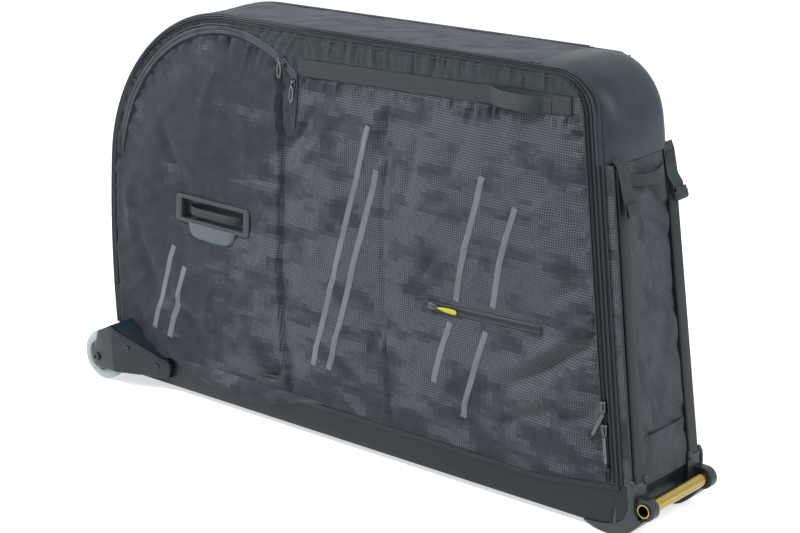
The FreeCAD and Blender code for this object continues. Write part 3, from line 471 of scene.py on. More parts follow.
sharedSeams = [
    sewnLine([webStart, webEnd], ruck=9.0, pitch=15, reach=18, half=17.5),
    sewnLine(flapArc, ruck=7.5, half=9.0), sewnLine(flapSide, ruck=3.0, half=9.0),
    sewnLine(rearSeam, ruck=5.0, pitch=50, reach=34, groove=4.0, lean=10.0),
    sewnLine(frontSeam, pitch=48, reach=30, groove=2.6, lean=2.5),
    sewnLine([(gripX - 69, gripZ), (gripX + 69, gripZ)], ruck=1.6, reach=14, pitch=26, half=33.0),
]
sewnZip = [p for p in zipRun if p[1] > 90]
leftSeams = sharedSeams + [
    sewnLine([p for p in sewnZip if p[0] > -560], ruck=8.5, pitch=19, reach=22, half=11.0),
    sewnLine([p for p in sewnZip if p[0] <= -560], ruck=6.0, pitch=34, reach=24, half=1.0, groove=0.0, lean=-18.0),
    sewnLine([(x, hemLine(x) + 2) for x in range(-420, 600, 10)], ruck=1.8, pitch=40, groove=0.3),
    sewnLine([pocketStart, pocketEnd], ruck=1.4, reach=14, half=9.0),
]
rightSeams = sharedSeams + [
    sewnLine([p for p in hoodInner if onHood(*p)], pitch=22, half=6.0),
    sewnLine([p for p in sideView() if p[1] > baseLine(p[0])], ruck=5.5, pitch=22, half=4.0),
    sewnLine([(x, baseLine(x) + 3) for x in range(-640, 640, 10)], ruck=2.5, pitch=40, reach=22),
]
# Long folds: from x, z to x, z, their height and width; the cloth falls into the negative ones
creases = [
    (370, 215, 556, 350, -11, 15), (392, 260, 540, 372, 5, 13), (360, 150, 484, 206, -8, 13),
    (446, 170, 576, 214, -8, 12), (463, 402, 522, 446, -6, 13), (522, 446, 562, 424, -5, 12),
    (-100, 655, -190, 545, -7, 11), (-60, 640, -150, 520, 4, 12), (78, 690, 60, 600, -6, 11),
    (40, 660, 20, 560, 4, 14), (-249, 72, -150, 126, -8, 12), (43, 195, 96, 278, -6, 13),
    (157, 371, 200, 425, -5, 10), (494, 740, 515, 688, -5, 9), (329, 491, 282, 441, -4, 12),
    (-517, 560, -455, 440, -5, 15), (-590, 330, -520, 200, -5, 16), (-480, 200, -380, 130, -7, 16),
    (-300, 250, -240, 130, 5, 20), (150, 640, 120, 520, -5, 13), (250, 640, 215, 560, -4, 12),
    (420, 620, 470, 540, -5, 13), (-120, 420, -40, 330, -4, 15), (200, 180, 320, 120, -5, 14),
    (480, 560, 560, 500, -4, 12), (-620, 430, -600, 300, 4, 14), (-40, 180, 60, 120, -5, 13),
]
sideLook = {"full": 10.0, "soft": 55, "slack": 7.0, "crease": 3.0, "long": 1.35}


def foldField(seams, look, seed):
    trees = [treeOf(seam["line"]) for seam in seams]

    def fold(x, z):
        nearest = None
        for n, (seam, tree) in enumerate(zip(seams, trees)):
            found, index, away = tree.find((x, 0, z))
            away = max(away - seam["half"], 0)
            if nearest is None or away < nearest[0]:
                nearest = (away, index * seamStep + n * 900, seam, x - found[0])
        away, run, seam, beside = nearest
        step = run / seam["pitch"]
        ease = 1 - exp(-(away / look["soft"]) ** 2)
        ruck = ripple((step, away * 0.008, seed)) + 0.5 * ripple((step * 2.1, away * 0.01, seed + 9))
        pull = seam["ruck"] * exp(-away / seam["reach"]) * (1 - exp(-(away / 4) ** 2))
        u, v = x * 0.8 - z * 0.6, x * 0.6 + z * 0.8
        slack = ripple((u / 170, v / 380, seed)) + 0.5 * ripple((x / 90, z / 150, seed + 3))
        crease = max(1 - abs(ripple((u / 75, v / 230, seed + 5))) * 3, 0) ** 2
        long = 0.0
        for ax, az, bx, bz, height, width in creases:
            dx, dz = bx - ax, bz - az
            t = min(max(((x - ax) * dx + (z - az) * dz) / (dx ** 2 + dz ** 2), 0), 1)
            gap = hypot(x - ax - t * dx, z - az - t * dz)
            if gap < 3 * width:
                long += look["long"] * height * exp(-(gap / width) ** 2) * sin(pi * (0.12 + 0.76 * t))
        lap = exp(-away / 30) * (1 - exp(-(away / 5) ** 2)) * (0.9 if beside < 0 else -0.35)
        loose = look["slack"] * slack + look["crease"] * crease
        raised = look["full"] * ease + 2 * pull * ruck + seam["lean"] * lap + min(away / 12, 1) * long
        return raised + ease * (0.35 + 0.65 * ease) * loose - seam["groove"] * exp(-(away / 5) ** 2)
    return fold


leftFold = foldField(leftSeams, sideLook, 2.0)
rightFold = foldField(rightSeams, sideLook, 31.0)


def insideLoop(points, loop):
    x, z = points[:, 0], points[:, 1]
    inside = np.zeros(len(points), bool)
    for (ax, az), (bx, bz) in zip(loop, loop[1:] + loop[:1]):
        crosses = (az > z) != (bz > z)
        with np.errstate(divide="ignore", invalid="ignore"):
            inside ^= crosses & (x < (bx - ax) * (z - az) / (bz - az) + ax)
    return inside


# A piece of cloth cut to a loop of the side view, laid on the skin and raised by its folds
def clothPlate(name, loop, holes, fold, side, cell=5.0, thick=4.0):
    deselect()
    low, high = np.min(loop, 0), np.max(loop, 0)
    across, up = [max(int((high[k] - low[k]) / cell), 2) for k in (0, 1)]
    bpy.ops.mesh.primitive_grid_add(x_subdivisions=across, y_subdivisions=up, size=1, location=(0, 0, 0))
    obj = newest(name)
    bm = bmesh.new()
    bm.from_mesh(obj.data)
    for vert in bm.verts:
        x, z = [low[k] + (vert.co[k] + 0.5) * (high[k] - low[k]) for k in (0, 1)]
        vert.co = (x, 0, z)
    centres = np.array([f.calc_center_median().xz for f in bm.faces])
    keep = insideLoop(centres, loop)
    for hole in holes:
        keep &= ~insideLoop(centres, hole)
    bmesh.ops.delete(bm, geom=[f for f, k in zip(bm.faces, keep) if not k], context="FACES")
    tree = treeOf([p for line in [loop] + holes for p in resample(line + line[:1], 1.5)])
    for vert in bm.verts:
        if vert.is_boundary:
            vert.co = tree.find(vert.co)[0]
    bmesh.ops.remove_doubles(bm, verts=[v for v in bm.verts if v.is_boundary], dist=0.8)
    bmesh.ops.dissolve_degenerate(bm, edges=bm.edges, dist=0.2)
    cloth = bm.loops.layers.uv.new("cloth")
    for face in bm.faces:
        for loopCorner in face.loops:
            loopCorner[cloth].uv = loopCorner.vert.co.xz * mm
    for vert in bm.verts:
        x, z = vert.co.x, vert.co.z
        vert.co = sidePoint(x, z, fold(x, z), side)
    bm.normal_update()
    if sum(f.normal.y for f in bm.faces) * side < 0:
        bmesh.ops.reverse_faces(bm, faces=bm.faces)
    bm.to_mesh(obj.data)
    bm.free()
    applyModifier(obj, "SOLIDIFY", thickness=thick * mm, offset=-1.0)
    return obj


# A strip laid along a line of the side view; its profile lists places across and heights, or gives them for a row
def sideStrip(name, line, profile, side, fold=None, thick=0.6):
    rows = []
    for k, ((x, z), (nx, nz)) in enumerate(framesAlong(line)):
        row = []
        for off, height in profile(k) if callable(profile) else profile:
            px, pz = x - nx * off, z - nz * off
            row.append(sidePoint(px, pz, height + (fold(px, pz) if fold else 0), side))
        rows.append(row)
    return rowsPiece(name, rows, out=(0, side, 0), thick=thick)


# Above the webbing and outside the pocket's zip the lid's cloth is gathered into narrow pleats
pleats = {"startX": -165, "above": 15, "radius": 306, "lowZ": 470, "run": 310, "full": 1.6, "high": 4.2, "pitch": 8.5}


def pleated(x, z):
    if x > pleats["startX"]:
        return z > webbingZ(x) + pleats["above"]
    return hypot(x - bag["domeX"], z - bag["domeZ"]) > pleats["radius"] and z > pleats["lowZ"]


def lidFold(x, z):
    if not pleated(x, z):
        return leftFold(x, z)
    run, held = x, 1
    if x > pleats["startX"]:
        held = min(max(z - webbingZ(x) - pleats["above"], 0) / 8, 1)
    else:
        run = atan2(z - bag["domeZ"], x - bag["domeX"]) * -pleats["run"]
    shifted = run / pleats["pitch"] + 1.2 * ripple((run / 60, z / 40, 3))
    return held * (pleats["full"] + pleats["high"] * ripple((shifted, z / 160, 77)))


lidOutline = clipAbove(sideView(14, 48, 68), hemLine)
gripHole = boxLoop(gripX - 87, gripZ + 22, gripX + 87, gripZ - 23)
lidCloth = clothPlate("lidCloth", lidOutline, [flapLoop, gripHole], lidFold, -1)
dress(lidCloth, "side_lid", "side_fabric", [sideCloth, pleatCloth], "lid_panel", angle=35,
      second=lambda face: pleated(face.center.x / mm, face.center.z / mm))

# Each flap laps under the cloth below its hinge line
flapLap = {"drop": 6, "under": -0.8}
(rearX, rearZ), (hingeX, hingeZ) = flapLoop[0], flapSide[0]
for (side, word, body), fold in zip(sides, (leftFold, rightFold)):
    def flapFold(x, z):
        hinge = rearZ + (x - rearX) * (hingeZ - rearZ) / (hingeX - rearX)
        return fold(x, z) + (flapLap["under"] if z < hinge else 0.0)
    flap = clothPlate("wheelFlapCloth." + word, flapOutline(flapLap["drop"])[0], [], flapFold, side)
    dress(flap, "wheel_flap_" + word, "side_fabric", sideCloth, "wheel_flap_" + word, angle=35)

# The right wall stops under the hood's edge; the lid's border is flat beside the zip
border = {"flatX": (-560, 300), "flatZ": 400, "share": 0.2, "most": 0.1, "cell": 2.2, "hole": (6, 40, 76)}
bagOutline = clipAbove(sideView(), baseLine)
hoodFlank = [p for p in sideView(-6, -6, 116) + sideView(0, 30, 84)[::-1] if onHood(*p, lap=4)]
hoodCorner = boxLoop(bag["hoodX"] + 8, bag["hoodZ"] + 4, 700, 900)


def borderFold(x, z):
    fold = leftFold(x, z)
    if x < border["flatX"][0] or x > border["flatX"][1] or z > border["flatZ"]:
        return min(fold * border["share"], border["most"])
    return fold


wall = clothPlate("sideWallCloth.right", bagOutline, [flapLoop, gripHole, hoodFlank], rightFold, 1)
dress(wall, "bag", "side_fabric", sideCloth, "side_wall_right", angle=35)
borderHole = clipAbove(sideView(*border["hole"]), hemLine)
borderCloth = clothPlate("lidBorderCloth", bagOutline, [borderHole, hoodCorner], borderFold, -1, cell=border["cell"])
dress(borderCloth, "bag", "side_fabric", sideCloth, "side_border_left", angle=35)

# The cloth sags over the base below the lid's rear half
belly = {"lowEdge": [(-500, 84), (-480, 72), (-442, 55), (-399, 44), (-356, 36), (-314, 31), (-273, 30), (-232, 34),
                     (-179, 43), (-126, 60), (-60, 71)], "out": 11.0, "columns": 14, "step": 6.0}
edgeX, edgeZ = zip(*belly["lowEdge"])
rows = []
for x in np.arange(edgeX[0], edgeX[-1] + 1, belly["step"]):
    high = hemLine(x) + 1.5
    drop = high - float(np.interp(x, edgeX, edgeZ))
    row = []
    for k in range(belly["columns"] + 1):
        t = k / belly["columns"]
        full = min(belly["out"], 0.34 * drop) * sin(pi * min(t * 1.02, 1)) ** 0.7 * (0.75 + 0.5 * t)
        full += min(2.5, drop * 0.08) * ripple((x / 26, t * 1.5, 8)) * sin(pi * t)
        row.append(sidePoint(x, high - drop * t, full + 0.6))
    rows.append(row)
dress(rowsPiece("hemBellyCloth", rows, out=(0, -1, 0), thick=1.5), "bag", "side_fabric", sideCloth)
print("side cloth made")

# Zips: tape, raised welts beside it and two rows of coil teeth
zipLook = {
    "outer": 30.0, "welt": 3.6, "parts": (1.0, 0.69, 0.38), "rib": ((0, 0), (0.25, 0.9), (0.75, 1), (1, 0)),
    "inner": ((-3.2, 0), (3.4, 0), (4.4, 0), (5.2, 0.9), (7.2, 1), (8.6, 0)), "flatX": -640,
    "tooth": 2.0, "height": 2.4, "lift": 0.9, "coil": ((0.3, 0), (0.3, 0.7), (1.4, 1), (2.5, 0.7), (2.8, 0)),
}
edgeTree = treeOf(sideView(step=3))


def mirrored(profile):
    return profile + [(-off, high) for off, high in reversed(profile) if off]


# Welts beside the zip: three outside and one inside, squeezed where the bag's edge is near and flat down the back
def weltProfiles(line):
    made = []
    for x, z in line:
        reach = min(zipLook["outer"], edgeTree.find((x, 0, z))[2] - 1.0)
        wide = min(zipLook["welt"], reach * 0.24)
        tall = min(1, max((x - zipLook["flatX"]) / 70, 0.12))
        ribs = [(min(wide * off - part * reach, -3.3), 0.3 + 2.8 * high * tall)
                for part in zipLook["parts"] for off, high in zipLook["rib"]]
        made.append(ribs + [(off, 0.4 + 2.6 * high * tall) for off, high in zipLook["inner"]])
    return made.__getitem__


def toothRow(sign):
    def shape(k):
        tall = zipLook["height"] * (1 if k % 2 else 0.55)
        return [(sign * off, zipLook["lift"] + tall * high) for off, high in zipLook["coil"]]
    return sideStrip("mainZipCoil", resample(zipLine, zipLook["tooth"]), shape, -1, thick=0.3)


tape = sideStrip("mainZipTape", zipLine, weltProfiles(zipLine), -1)
coil = joinPieces([toothRow(-1), toothRow(1)], "mainZipCoil")
tail = sideStrip("mainZipTail", tailLine, weltProfiles(tailLine), -1)
for strip, body, nodes in ((tail, "bag", []), (tape, "side_lid", ["main_zip"])):
    dress(strip, body, "zip", [zipTape, weltCloth], *nodes, second=lambda face: face.index % 17 in (1, 5, 9, 15))
dress(coil, "side_lid", "zip", zipCoil, "main_zip")

wheelProfile = mirrored([(-8, 0.2), (-7.2, 2.4), (-5, 3.2), (-2.2, 2.9), (-0.6, 1.2)])
wheelRun = resample(flapSide + flapArc, 4)


def lipProfile(k):
    fade = min(1, (len(wheelRun) - 1 - k) / 14, (k + 1) / 12)
    return [(off * (0.3 + 0.7 * fade), 0.1 + (high - 0.1) * fade) for off, high in wheelProfile]


for side, word, body in sides:
    lips = sideStrip("wheelZipLips." + word, wheelRun, lipProfile, side)
    dress(lips, "wheel_flap_" + word, "zip", bandCloth, "wheel_zip_" + word)
pocketProfile = mirrored([(-8, 0.2), (-7, 1.6), (-3.2, 2.0), (-1.2, 0.9)])
pocketTape = sideStrip("pocketZipTape", resample([pocketStart, pocketEnd], 4), pocketProfile, -1)
dress(pocketTape, "side_lid", "zip", [zipTape, bandCloth], "pocket_zip",
      second=lambda face: face.index % 7 in (0, 1, 5, 6))
print("zips made")

# Top band, hood and front wall follow the outline across the bag
topLook = {"crown": 3.0, "ruck": 3.0, "slack": 4.0, "crease": 2.5, "floor": 75}
frontLook = {"crown": 3.5, "ruck": 3.5, "slack": 4.5, "crease": 7.0, "floor": 104}
bandGrid = {"step": 8, "columns": 44}


def fromCentre(place):
    return Vector((place.x + 0.015, 0, place.z - 0.42))


def bandPiece(name, keep, seed, look):
    rows = []
    for k, ((x, z), (nx, nz)) in enumerate(framesAlong(sideView(step=bandGrid["step"]))):
        if not keep(x, z):
            continue
        row = []
        run, half = k * bandGrid["step"], halfWidth(x, z) - 0.5
        loose = min(max((z - look["floor"]) / 30, 0), 1)
        for c in range(bandGrid["columns"] + 1):
            t = c / bandGrid["columns"] * 2 - 1
            edge = (1 - abs(t)) * half
            rise = look["crown"] * (1 - t * t) - 3.0 * exp(-edge / 4)
            rise += look["ruck"] * exp(-edge / 22) * ripple((run / 24, t * 2, seed)) * (1 - exp(-edge / 5))
            rise += loose * look["slack"] * (1 - exp(-edge / 30)) * ripple((run / 130, t * 1.4, seed + 4))
            ridge = max(1 - 3 * abs(ripple((run / 70 + t * 0.9, t * 0.6, seed + 6))), 0) ** 2
            rise -= loose * look["crease"] * ridge * (1 - exp(-edge / 14))
            row.append(Vector((x + nx * rise, t * half, z + nz * rise)) * mm)
        rows.append(row)
    return rowsPiece(name, rows, out=fromCentre, thick=3.0)


topBand = bandPiece("topBandCloth", lambda x, z: x < bag["hoodX"] + 40 and (x < 0 or z > 300) and z > 58, 12.0, topLook)
dress(topBand, "bag", "band_fabric", bandCloth, "gusset_rear_top", angle=35)
frontWall = bandPiece("frontWallCloth", lambda x, z: x > 300 and bag["hoodZ"] + 12 > z > 84, 17.0, frontLook)
dress(frontWall, "bag", "band_fabric", bandCloth, "front_panel", angle=35)


def roundOff(points, times=3):
    for step in range(times):
        made = [points[0]]
        for a, b in zip(points, points[1:]):
            made += [a.lerp(b, 0.25), a.lerp(b, 0.75)]
        points = made + [points[-1]]
    return points


# The hood runs from the zip on one side, over the rounded edges, to the other side
hoodLook = {"crown": (2.5, 5.0), "proud": (1.5, 4.0), "edge": 20, "flank": 0.55}
innerLine = np.array(hoodInner)
rows = []
for (x, z), (nx, nz) in framesAlong(sideView(step=7)):
    if not onHood(x, z):
        continue
    qx, qz = innerLine[int(np.argmin(np.hypot(*(innerLine - (x, z)).T)))]
    half = halfWidth(x, z)
    swell = min(1, (x - bag["hoodX"]) / 70, 0.4 + (z - bag["hoodZ"]) / 60)
    proud, crown = [low + (high - low) * swell for low, high in (hoodLook["proud"], hoodLook["crown"])]
    near, far = hoodLook["flank"], 1 - hoodLook["flank"]
    left = [sidePoint(qx, qz, 1.0), sidePoint(qx * near + x * far, qz * near + z * far, 2.2)]
    right = [sidePoint(p.x / mm, p.z / mm, 1.0, 1) for p in reversed(left)]
    top = [Vector((x + nx * up, y, z + nz * up)) * mm for up, y in (
        (proud, hoodLook["edge"] - half), (proud + crown, -half * 0.4), (proud + crown, half * 0.4),
        (proud, half - hoodLook["edge"]))]
    rows.append(roundOff(left + top + right))
hoodCloth = rowsPiece("hoodCloth", rows, out=fromCentre, thick=2.0)
dress(hoodCloth, "bag", "coated_hood", hoodCoat, "hood", angle=35)
print("band and hood made")

# Flat straps and webbing
webProfile = mirrored([(-16, -0.2), (-15.6, 2.0), (0, 2.3)])
for side, word, body in sides:
    band = sideStrip("sideWebbing." + word, resample([webStart, webEnd], 10), webProfile, side, thick=0.8)
    dress(band, body, "webbing", strapWeb, "side_webbing_" + word, angle=50)


# A frame lying on the bag's side: its origin and the ways along, up and out
def sideFrame(x, z, side):
    origin = sidePoint(x, z, 0, side)
    run = (sidePoint(x + 1, z, 0, side) - origin).normalized()
    climb = sidePoint(x, z + 1, 0, side) - origin
    out = Vector((0, side, 0))
    out = (out - run * out.dot(run)).normalized()
    up = (climb - run * climb.dot(run)).normalized()
    out = (out - up * out.dot(up)).normalized()
    return origin, run, up, out


def turned(place, turn):
    origin, run, up, out = place
    c, s = cos(radians(turn)), sin(radians(turn))
    return origin, run * c + up * s, up * c - run * s, out


def inFrame(place, points):
    origin, run, up, out = place
    return [origin + (run * x + up * y + out * z) * mm for x, y, z in points]


# Carrying handles arch over the webbing and lean outwards; the grips' straps bridge their recess
carry = {"x": 366, "reach": 75, "rows": 60, "sewn": 56, "width": 28, "sag": 3, "base": 2.6, "lift": 14, "tilt": 8,
         "bow": 0.6}
carryRows = []
for k in range(carry["rows"] + 1):
    x = carry["reach"] * (2 * k / carry["rows"] - 1)
    lift = 1 - min(abs(x) / carry["sewn"], 1) ** 3
    row = []
    for y in (-0.5, -0.46, -0.2, 0, 0.2, 0.46, 0.5):
        z = carry["base"] + (carry["lift"] - carry["tilt"] * y) * lift + carry["bow"] * (1 - (2 * y) ** 2)
        row.append((x, y * carry["width"] - carry["sag"] * lift, z))
    carryRows.append(row)
grip = {"below": 2, "length": 152, "rows": 36, "width": 16, "base": -15.2, "lift": 18.5, "bow": 2.0}
gripRows = []
for k in range(grip["rows"] + 1):
    t = k / grip["rows"]
    z = grip["base"] + grip["lift"] * (1 - abs(2 * t - 1) ** 5)
    gripRows.append([((t - 0.5) * grip["length"], y * grip["width"], z + grip["bow"] * (1 - (2 * y) ** 2))
                     for y in (-0.5, -0.25, 0, 0.25, 0.5)])
straps = (("carryStrap.", "carry_handle_", carryRows, carry["x"], webbingZ(carry["x"])),
          ("gripStrap.", "side_grip_", gripRows, gripX, gripZ - grip["below"]))
for side, word, body in sides:
    for name, node, rows, x, z in straps:
        place = sideFrame(x, z, side)
        strap = rowsPiece(name + word, [inFrame(place, row) for row in rows], out=(0, side, 0), thick=3.0)
        dress(strap, node + word, "webbing", strapWeb, node + word)

# Hood straps: sewn under the hood's edge, hanging clear of the wall, the loose end folded back and sewn.
# The far one is pulled tight by its buckle
hoodStrap = {
    "centre": 72, "half": 16, "buckleZ": 602, "tight": 0.45, "columns": (-1, -0.95, -0.5, 0, 0.5, 0.95, 1),
    "path": [(671, 0.6), (665, 3.5), (660, 8.4), (652, 10.2), (630, 13.5), (608, 17.0), (590, 20.0), (576, 22.4),
             (573.6, 23.6), (574.4, 25.4), (578, 25.6), (590, 23.6), (596, 22.6)],
}
for side, word, body in sides:
    rows = []
    for z, off in resample(hoodStrap["path"], 4):
        close = 1 - hoodStrap["tight"] * min(max((z - hoodStrap["buckleZ"]) / 14, 0), 1) * (side > 0)
        rows.append([frontPoint(z, close * off + 0.5 * ripple((z / 20, a, side)),
                                side * hoodStrap["centre"] + a * hoodStrap["half"]) for a in hoodStrap["columns"]])
    strap = rowsPiece("hoodStrap." + word, rows, out=(1, 0, 0), thick=1.8)
    dress(strap, "bag", "webbing", strapWeb, "hood_straps")

# Front handle: a webbing loop that stands off the wall
frontHandle = {"z": 631, "sag": 7, "half": 10, "reach": 55, "stand": 15, "rows": 44}
rows = []
for k in range(frontHandle["rows"] + 1):
    t = k / (frontHandle["rows"] // 2) - 1
    z = frontHandle["z"] - frontHandle["sag"] * (1 - t * t)
    off = 1.0 + frontHandle["stand"] * (1 - abs(t) ** 3)
    rows.append([frontPoint(z + a * frontHandle["half"], off + 0.8 * (1 - a * a), t * frontHandle["reach"])
                 for a in (-1, -0.92, -0.5, 0, 0.5, 0.92, 1)])
frontLoop = rowsPiece("frontHandleLoop", rows, out=(1, 0, 0), thick=2.8)
dress(frontLoop, "front_handle", "webbing", strapWeb, "front_handle")

# Patch pocket low on the front wall, slack, with a doubled hem along its mouth
patchLook = {"low": 105, "step": 2, "rows": 36, "columns": 40, "inset": 39, "full": 5.5, "slack": 1.6, "hemZ": 165,
             "hem": 1.2}
rows = []
for k in range(patchLook["rows"] + 1):
    z = patchLook["low"] + patchLook["step"] * k
    reach = halfWidth(frontX(z), z) - patchLook["inset"]
    row = []
    for c in range(patchLook["columns"] + 1):
        t = c / (patchLook["columns"] // 2) - 1
        edge = min((1 - abs(t)) * reach, z - patchLook["low"] + 1, 40)
        full = patchLook["full"] * (1 - exp(-edge / 9))
        full += patchLook["slack"] * ripple((t * 3, z / 24, 40)) * (1 - exp(-edge / 14))
        full += patchLook["hem"] if z > patchLook["hemZ"] else 0
        row.append(frontPoint(z, 0.4 + full, t * reach))
    rows.append(row)
patch = rowsPiece("frontPocketCloth", rows, out=(1, 0, 0), thick=1.2)
dress(patch, "bag", "band_fabric", bandCloth, "front_pocket")

# Tongue moulded below each grip plate
tongue = {"top": 366, "bottom": 335, "half": 66, "taper": 11, "round": 22, "rows": 18, "high": 3.4, "rim": 1.6}
for side, word, body in sides:
    rows = []
    for k in range(tongue["rows"] + 1):
        t = k / tongue["rows"]
        turnIn = tongue["round"] * (1 - sqrt(1 - max(t - 0.5, 0) ** 2 * 3.9))
        half = tongue["half"] - tongue["taper"] * t - turnIn
        z = tongue["top"] + (tongue["bottom"] - tongue["top"]) * t
        lift = tongue["high"] if t < 0.93 else tongue["rim"]
        rows.append([sidePoint(gripX + a * half, z, (lift if abs(a) < 1 else 0.4) + 1.5, side)
                     for a in (-1, -0.95, -0.8, -0.4, 0, 0.4, 0.8, 0.95, 1)])
    tab = rowsPiece("gripTongue." + word, rows, out=(0, side, 0), thick=3.0)
    dress(tab, body, "rubber", rubberTongue, angle=50)


def ring(radius, count, lobes=0.0, turn=0.0):
    made = []
    for k in range(count + 1):
        angle = tau * k / count
        reach = radius + lobes * abs(cos(angle - turn))
        made.append((reach * cos(angle), reach * sin(angle)))
    return made


# Rings closed at both ends by a point in the middle
def cappedTube(name, rings):
    first, last = [[sum(r[:-1], Vector()) / (len(r) - 1)] * len(r) for r in (rings[0], rings[-1])]
    return rowsPiece(name, [first] + rings + [last], wrap=True)


# Welted edge where the band meets the sides
welt = {"radius": 2.3, "sunk": 0.6, "sides": 10}
weltRuns = (lambda x, z: x < bag["hoodX"] and (x < 0 or z > 300) and z > 112,
            lambda x, z: x > 300 and 108 < z < bag["hoodZ"] + 4)
for side, word, body in sides:
    welts = []
    for keep in weltRuns:
        rows = []
        for (x, z), (nx, nz) in framesAlong([p for p in sideView() if keep(*p)]):
            y = halfWidth(x, z) - welt["sunk"]
            rows.append([Vector((x + nx * c, side * (y + s), z + nz * c)) * mm
                         for c, s in ring(welt["radius"], welt["sides"])])
        welts.append(cappedTube("edgeWelt", rows))
    dress(joinPieces(welts, "edgeWelt." + word), "bag", "band_fabric", weltCloth)

binding = {"line": [(-636, 108), (-605, 102), (-560, 95), (-515, 88), (-486, 76)], "radius": 3.2, "out": 1.0,
           "sides": 10}
for side, word, body in sides:
    rows = [[sidePoint(x, z + c, binding["out"] + s, side) for c, s in ring(binding["radius"], binding["sides"])]
            for x, z in resample(binding["line"], 5)]
    dress(cappedTube("housingBinding." + word, rows), "bag", "trim", weltCloth)

# Reflective stripes across the lid, laid on the folds
stripes = {"width": 13, "high": 0.9, "lines": [
    [(-88, 150), (32, 640)], [(-48, 150), (52, 560)], [(246, 350), (306, 596)], [(206, 186), (236, 308)],
    [(330, 356), (378, 552)], [(276, 135), (318, 308)], [(-520, 130), (-476, 310)], [(-478, 118), (-440, 274)]]}
half, high = stripes["width"] / 2, stripes["high"]
stripeProfile = mirrored([(-half, 0.2), (-half + 0.4, high), (-half / 2, high), (0, high)])
film = joinPieces([sideStrip("stripe", resample(line, 3), stripeProfile, -1, fold=leftFold, thick=0.3)
                   for line in stripes["lines"]], "reflectiveStripes")
dress(film, "side_lid", "side_fabric", filmStripe)
print("straps made")

# Zip sliders: a flat body under a bridge; hanging pulls of braided cord with a crimp and a bar
slider = {
    "outline": ((-11, 4.2), (-10.6, 4.8), (-6, 5.4), (0, 6.0), (6, 6.4), (10.4, 6.2), (11, 5.4)), "low": 0.2,
    "top": 4.2, "chamfer": 0.9, "bridge": 1.9, "bridgeFlat": 1.2, "bridgeLow": 3.8, "bridgeRise": 2.4,
    "bridgeReach": 8.4,
}
pull = {
    "cord": 2.4, "lobe": 0.8, "twist": 10, "start": 1.2, "step": 0.64, "rings": 75, "sides": 14,
    "sleeve": ((-44.6, 2.6), (-45.2, 3.3), (-46.4, 3.5), (-52.4, 3.5), (-53.4, 3.3), (-54, 2.6)), "barY": -56.4,
    "bar": ((-8, 1.6), (-7.6, 2.3), (-6.8, 2.8), (6.8, 2.8), (7.6, 2.3), (8, 1.6)), "pivot": (0, -13.9, 7.5),
}


def closedTube(name, place, rings):
    return cappedTube(name, [inFrame(place, r) for r in rings])


def boxRing(y, half, low, shoulder, flat, top):
    corners = ((-half, low), (-half, shoulder), (-flat, top), (flat, top), (half, shoulder), (half, low), (-half, low))
    return [(x, y, z) for x, z in corners]


def sliderPiece(name, place, base, node):
    body, arch = [], []
    for y, half in slider["outline"]:
        top = base + slider["top"] - 0.5 * (abs(y) > 10)
        body.append(boxRing(y, half, base + slider["low"], top - slider["chamfer"], half - slider["chamfer"], top))
    for k in range(13):
        t = k / 6 - 1
        z = base + slider["bridgeLow"] + slider["bridgeRise"] * (1 - abs(t) ** 3)
        arch.append(boxRing(slider["bridgeReach"] * t, slider["bridge"], z - 1, z, slider["bridgeFlat"], z + 0.5))
    made = joinPieces([closedTube(name, place, rings) for rings in (body, arch)], name)
    dress(made, node, "slider_metal", sliderMetal, node, angle=40)


for word, z, swing in (("upper", 232, 32), ("lower", 190, 0)):
    place = turned(sideFrame(frontX(z, -zipInset[1]), z, -1), bag["frontLean"])
    sliderPiece("mainSlider." + word, place, 3.6, "main_slider_" + word)
    hang = turned((inFrame(place, [pull["pivot"]])[0],) + place[1:], -swing)
    drops = [pull["start"] - k * pull["step"] for k in range(pull["rings"])]
    braid = [[(a, y, b) for a, b in ring(pull["cord"], pull["sides"], pull["lobe"], tau * y / pull["twist"])]
             for y in drops]
    sleeve = [[(a, y, b) for a, b in ring(radius, pull["sides"])] for y, radius in pull["sleeve"]]
    bar = [[(x, pull["barY"] + a, b) for a, b in ring(radius, pull["sides"])] for x, radius in pull["bar"]]
    cord = closedTube("mainPull." + word, hang, braid)
    ends = joinPieces([closedTube("pullEnds", hang, rings) for rings in (sleeve, bar)], "pullEnds." + word)
    dress(cord, "main_pull_" + word, "cord_pull", pullCord, "main_pull_" + word)
    dress(ends, "main_pull_" + word, "cord_pull", blackMoulding, angle=40)

# Wheel pocket sliders with a loop of cord
loopLook = {"middle": -16, "reach": 15, "narrow": 3.2, "wider": 1.6, "thick": 1.25, "height": 8.8, "rings": 40,
            "sides": 10}


def loopPull(name, place):
    rings = []
    for k in range(loopLook["rings"] + 1):
        t = tau * k / loopLook["rings"]
        y = loopLook["middle"] + loopLook["reach"] * cos(t)
        x = (loopLook["narrow"] + loopLook["wider"] * (1 - cos(t)) / 2) * sin(t)
        dx, dy = cos(t) * 4, -loopLook["reach"] * sin(t)
        length = hypot(dx, dy)
        nx, ny = dy / length, -dx / length
        rings.append([(x + nx * a, y + ny * a, loopLook["height"] + b)
                      for a, b in ring(loopLook["thick"], loopLook["sides"])])
    return rowsPiece(name, [inFrame(place, r) for r in rings], wrap=True)


wheelSliders = (("left", -198.5, 725.6, 61, -1), ("right", -198.5, 725.6, 61, 1), ("side", -165, 684, 0, -1))
for word, x, z, turn, side in wheelSliders:
    place = sideFrame(x, z, side)
    sliderPiece("wheelSlider." + word, turned(place, turn), 2.8, "wheel_slider_" + word)
    dress(loopPull("wheelSliderLoop." + word, place), "wheel_slider_" + word, "cord_pull", pullCord)

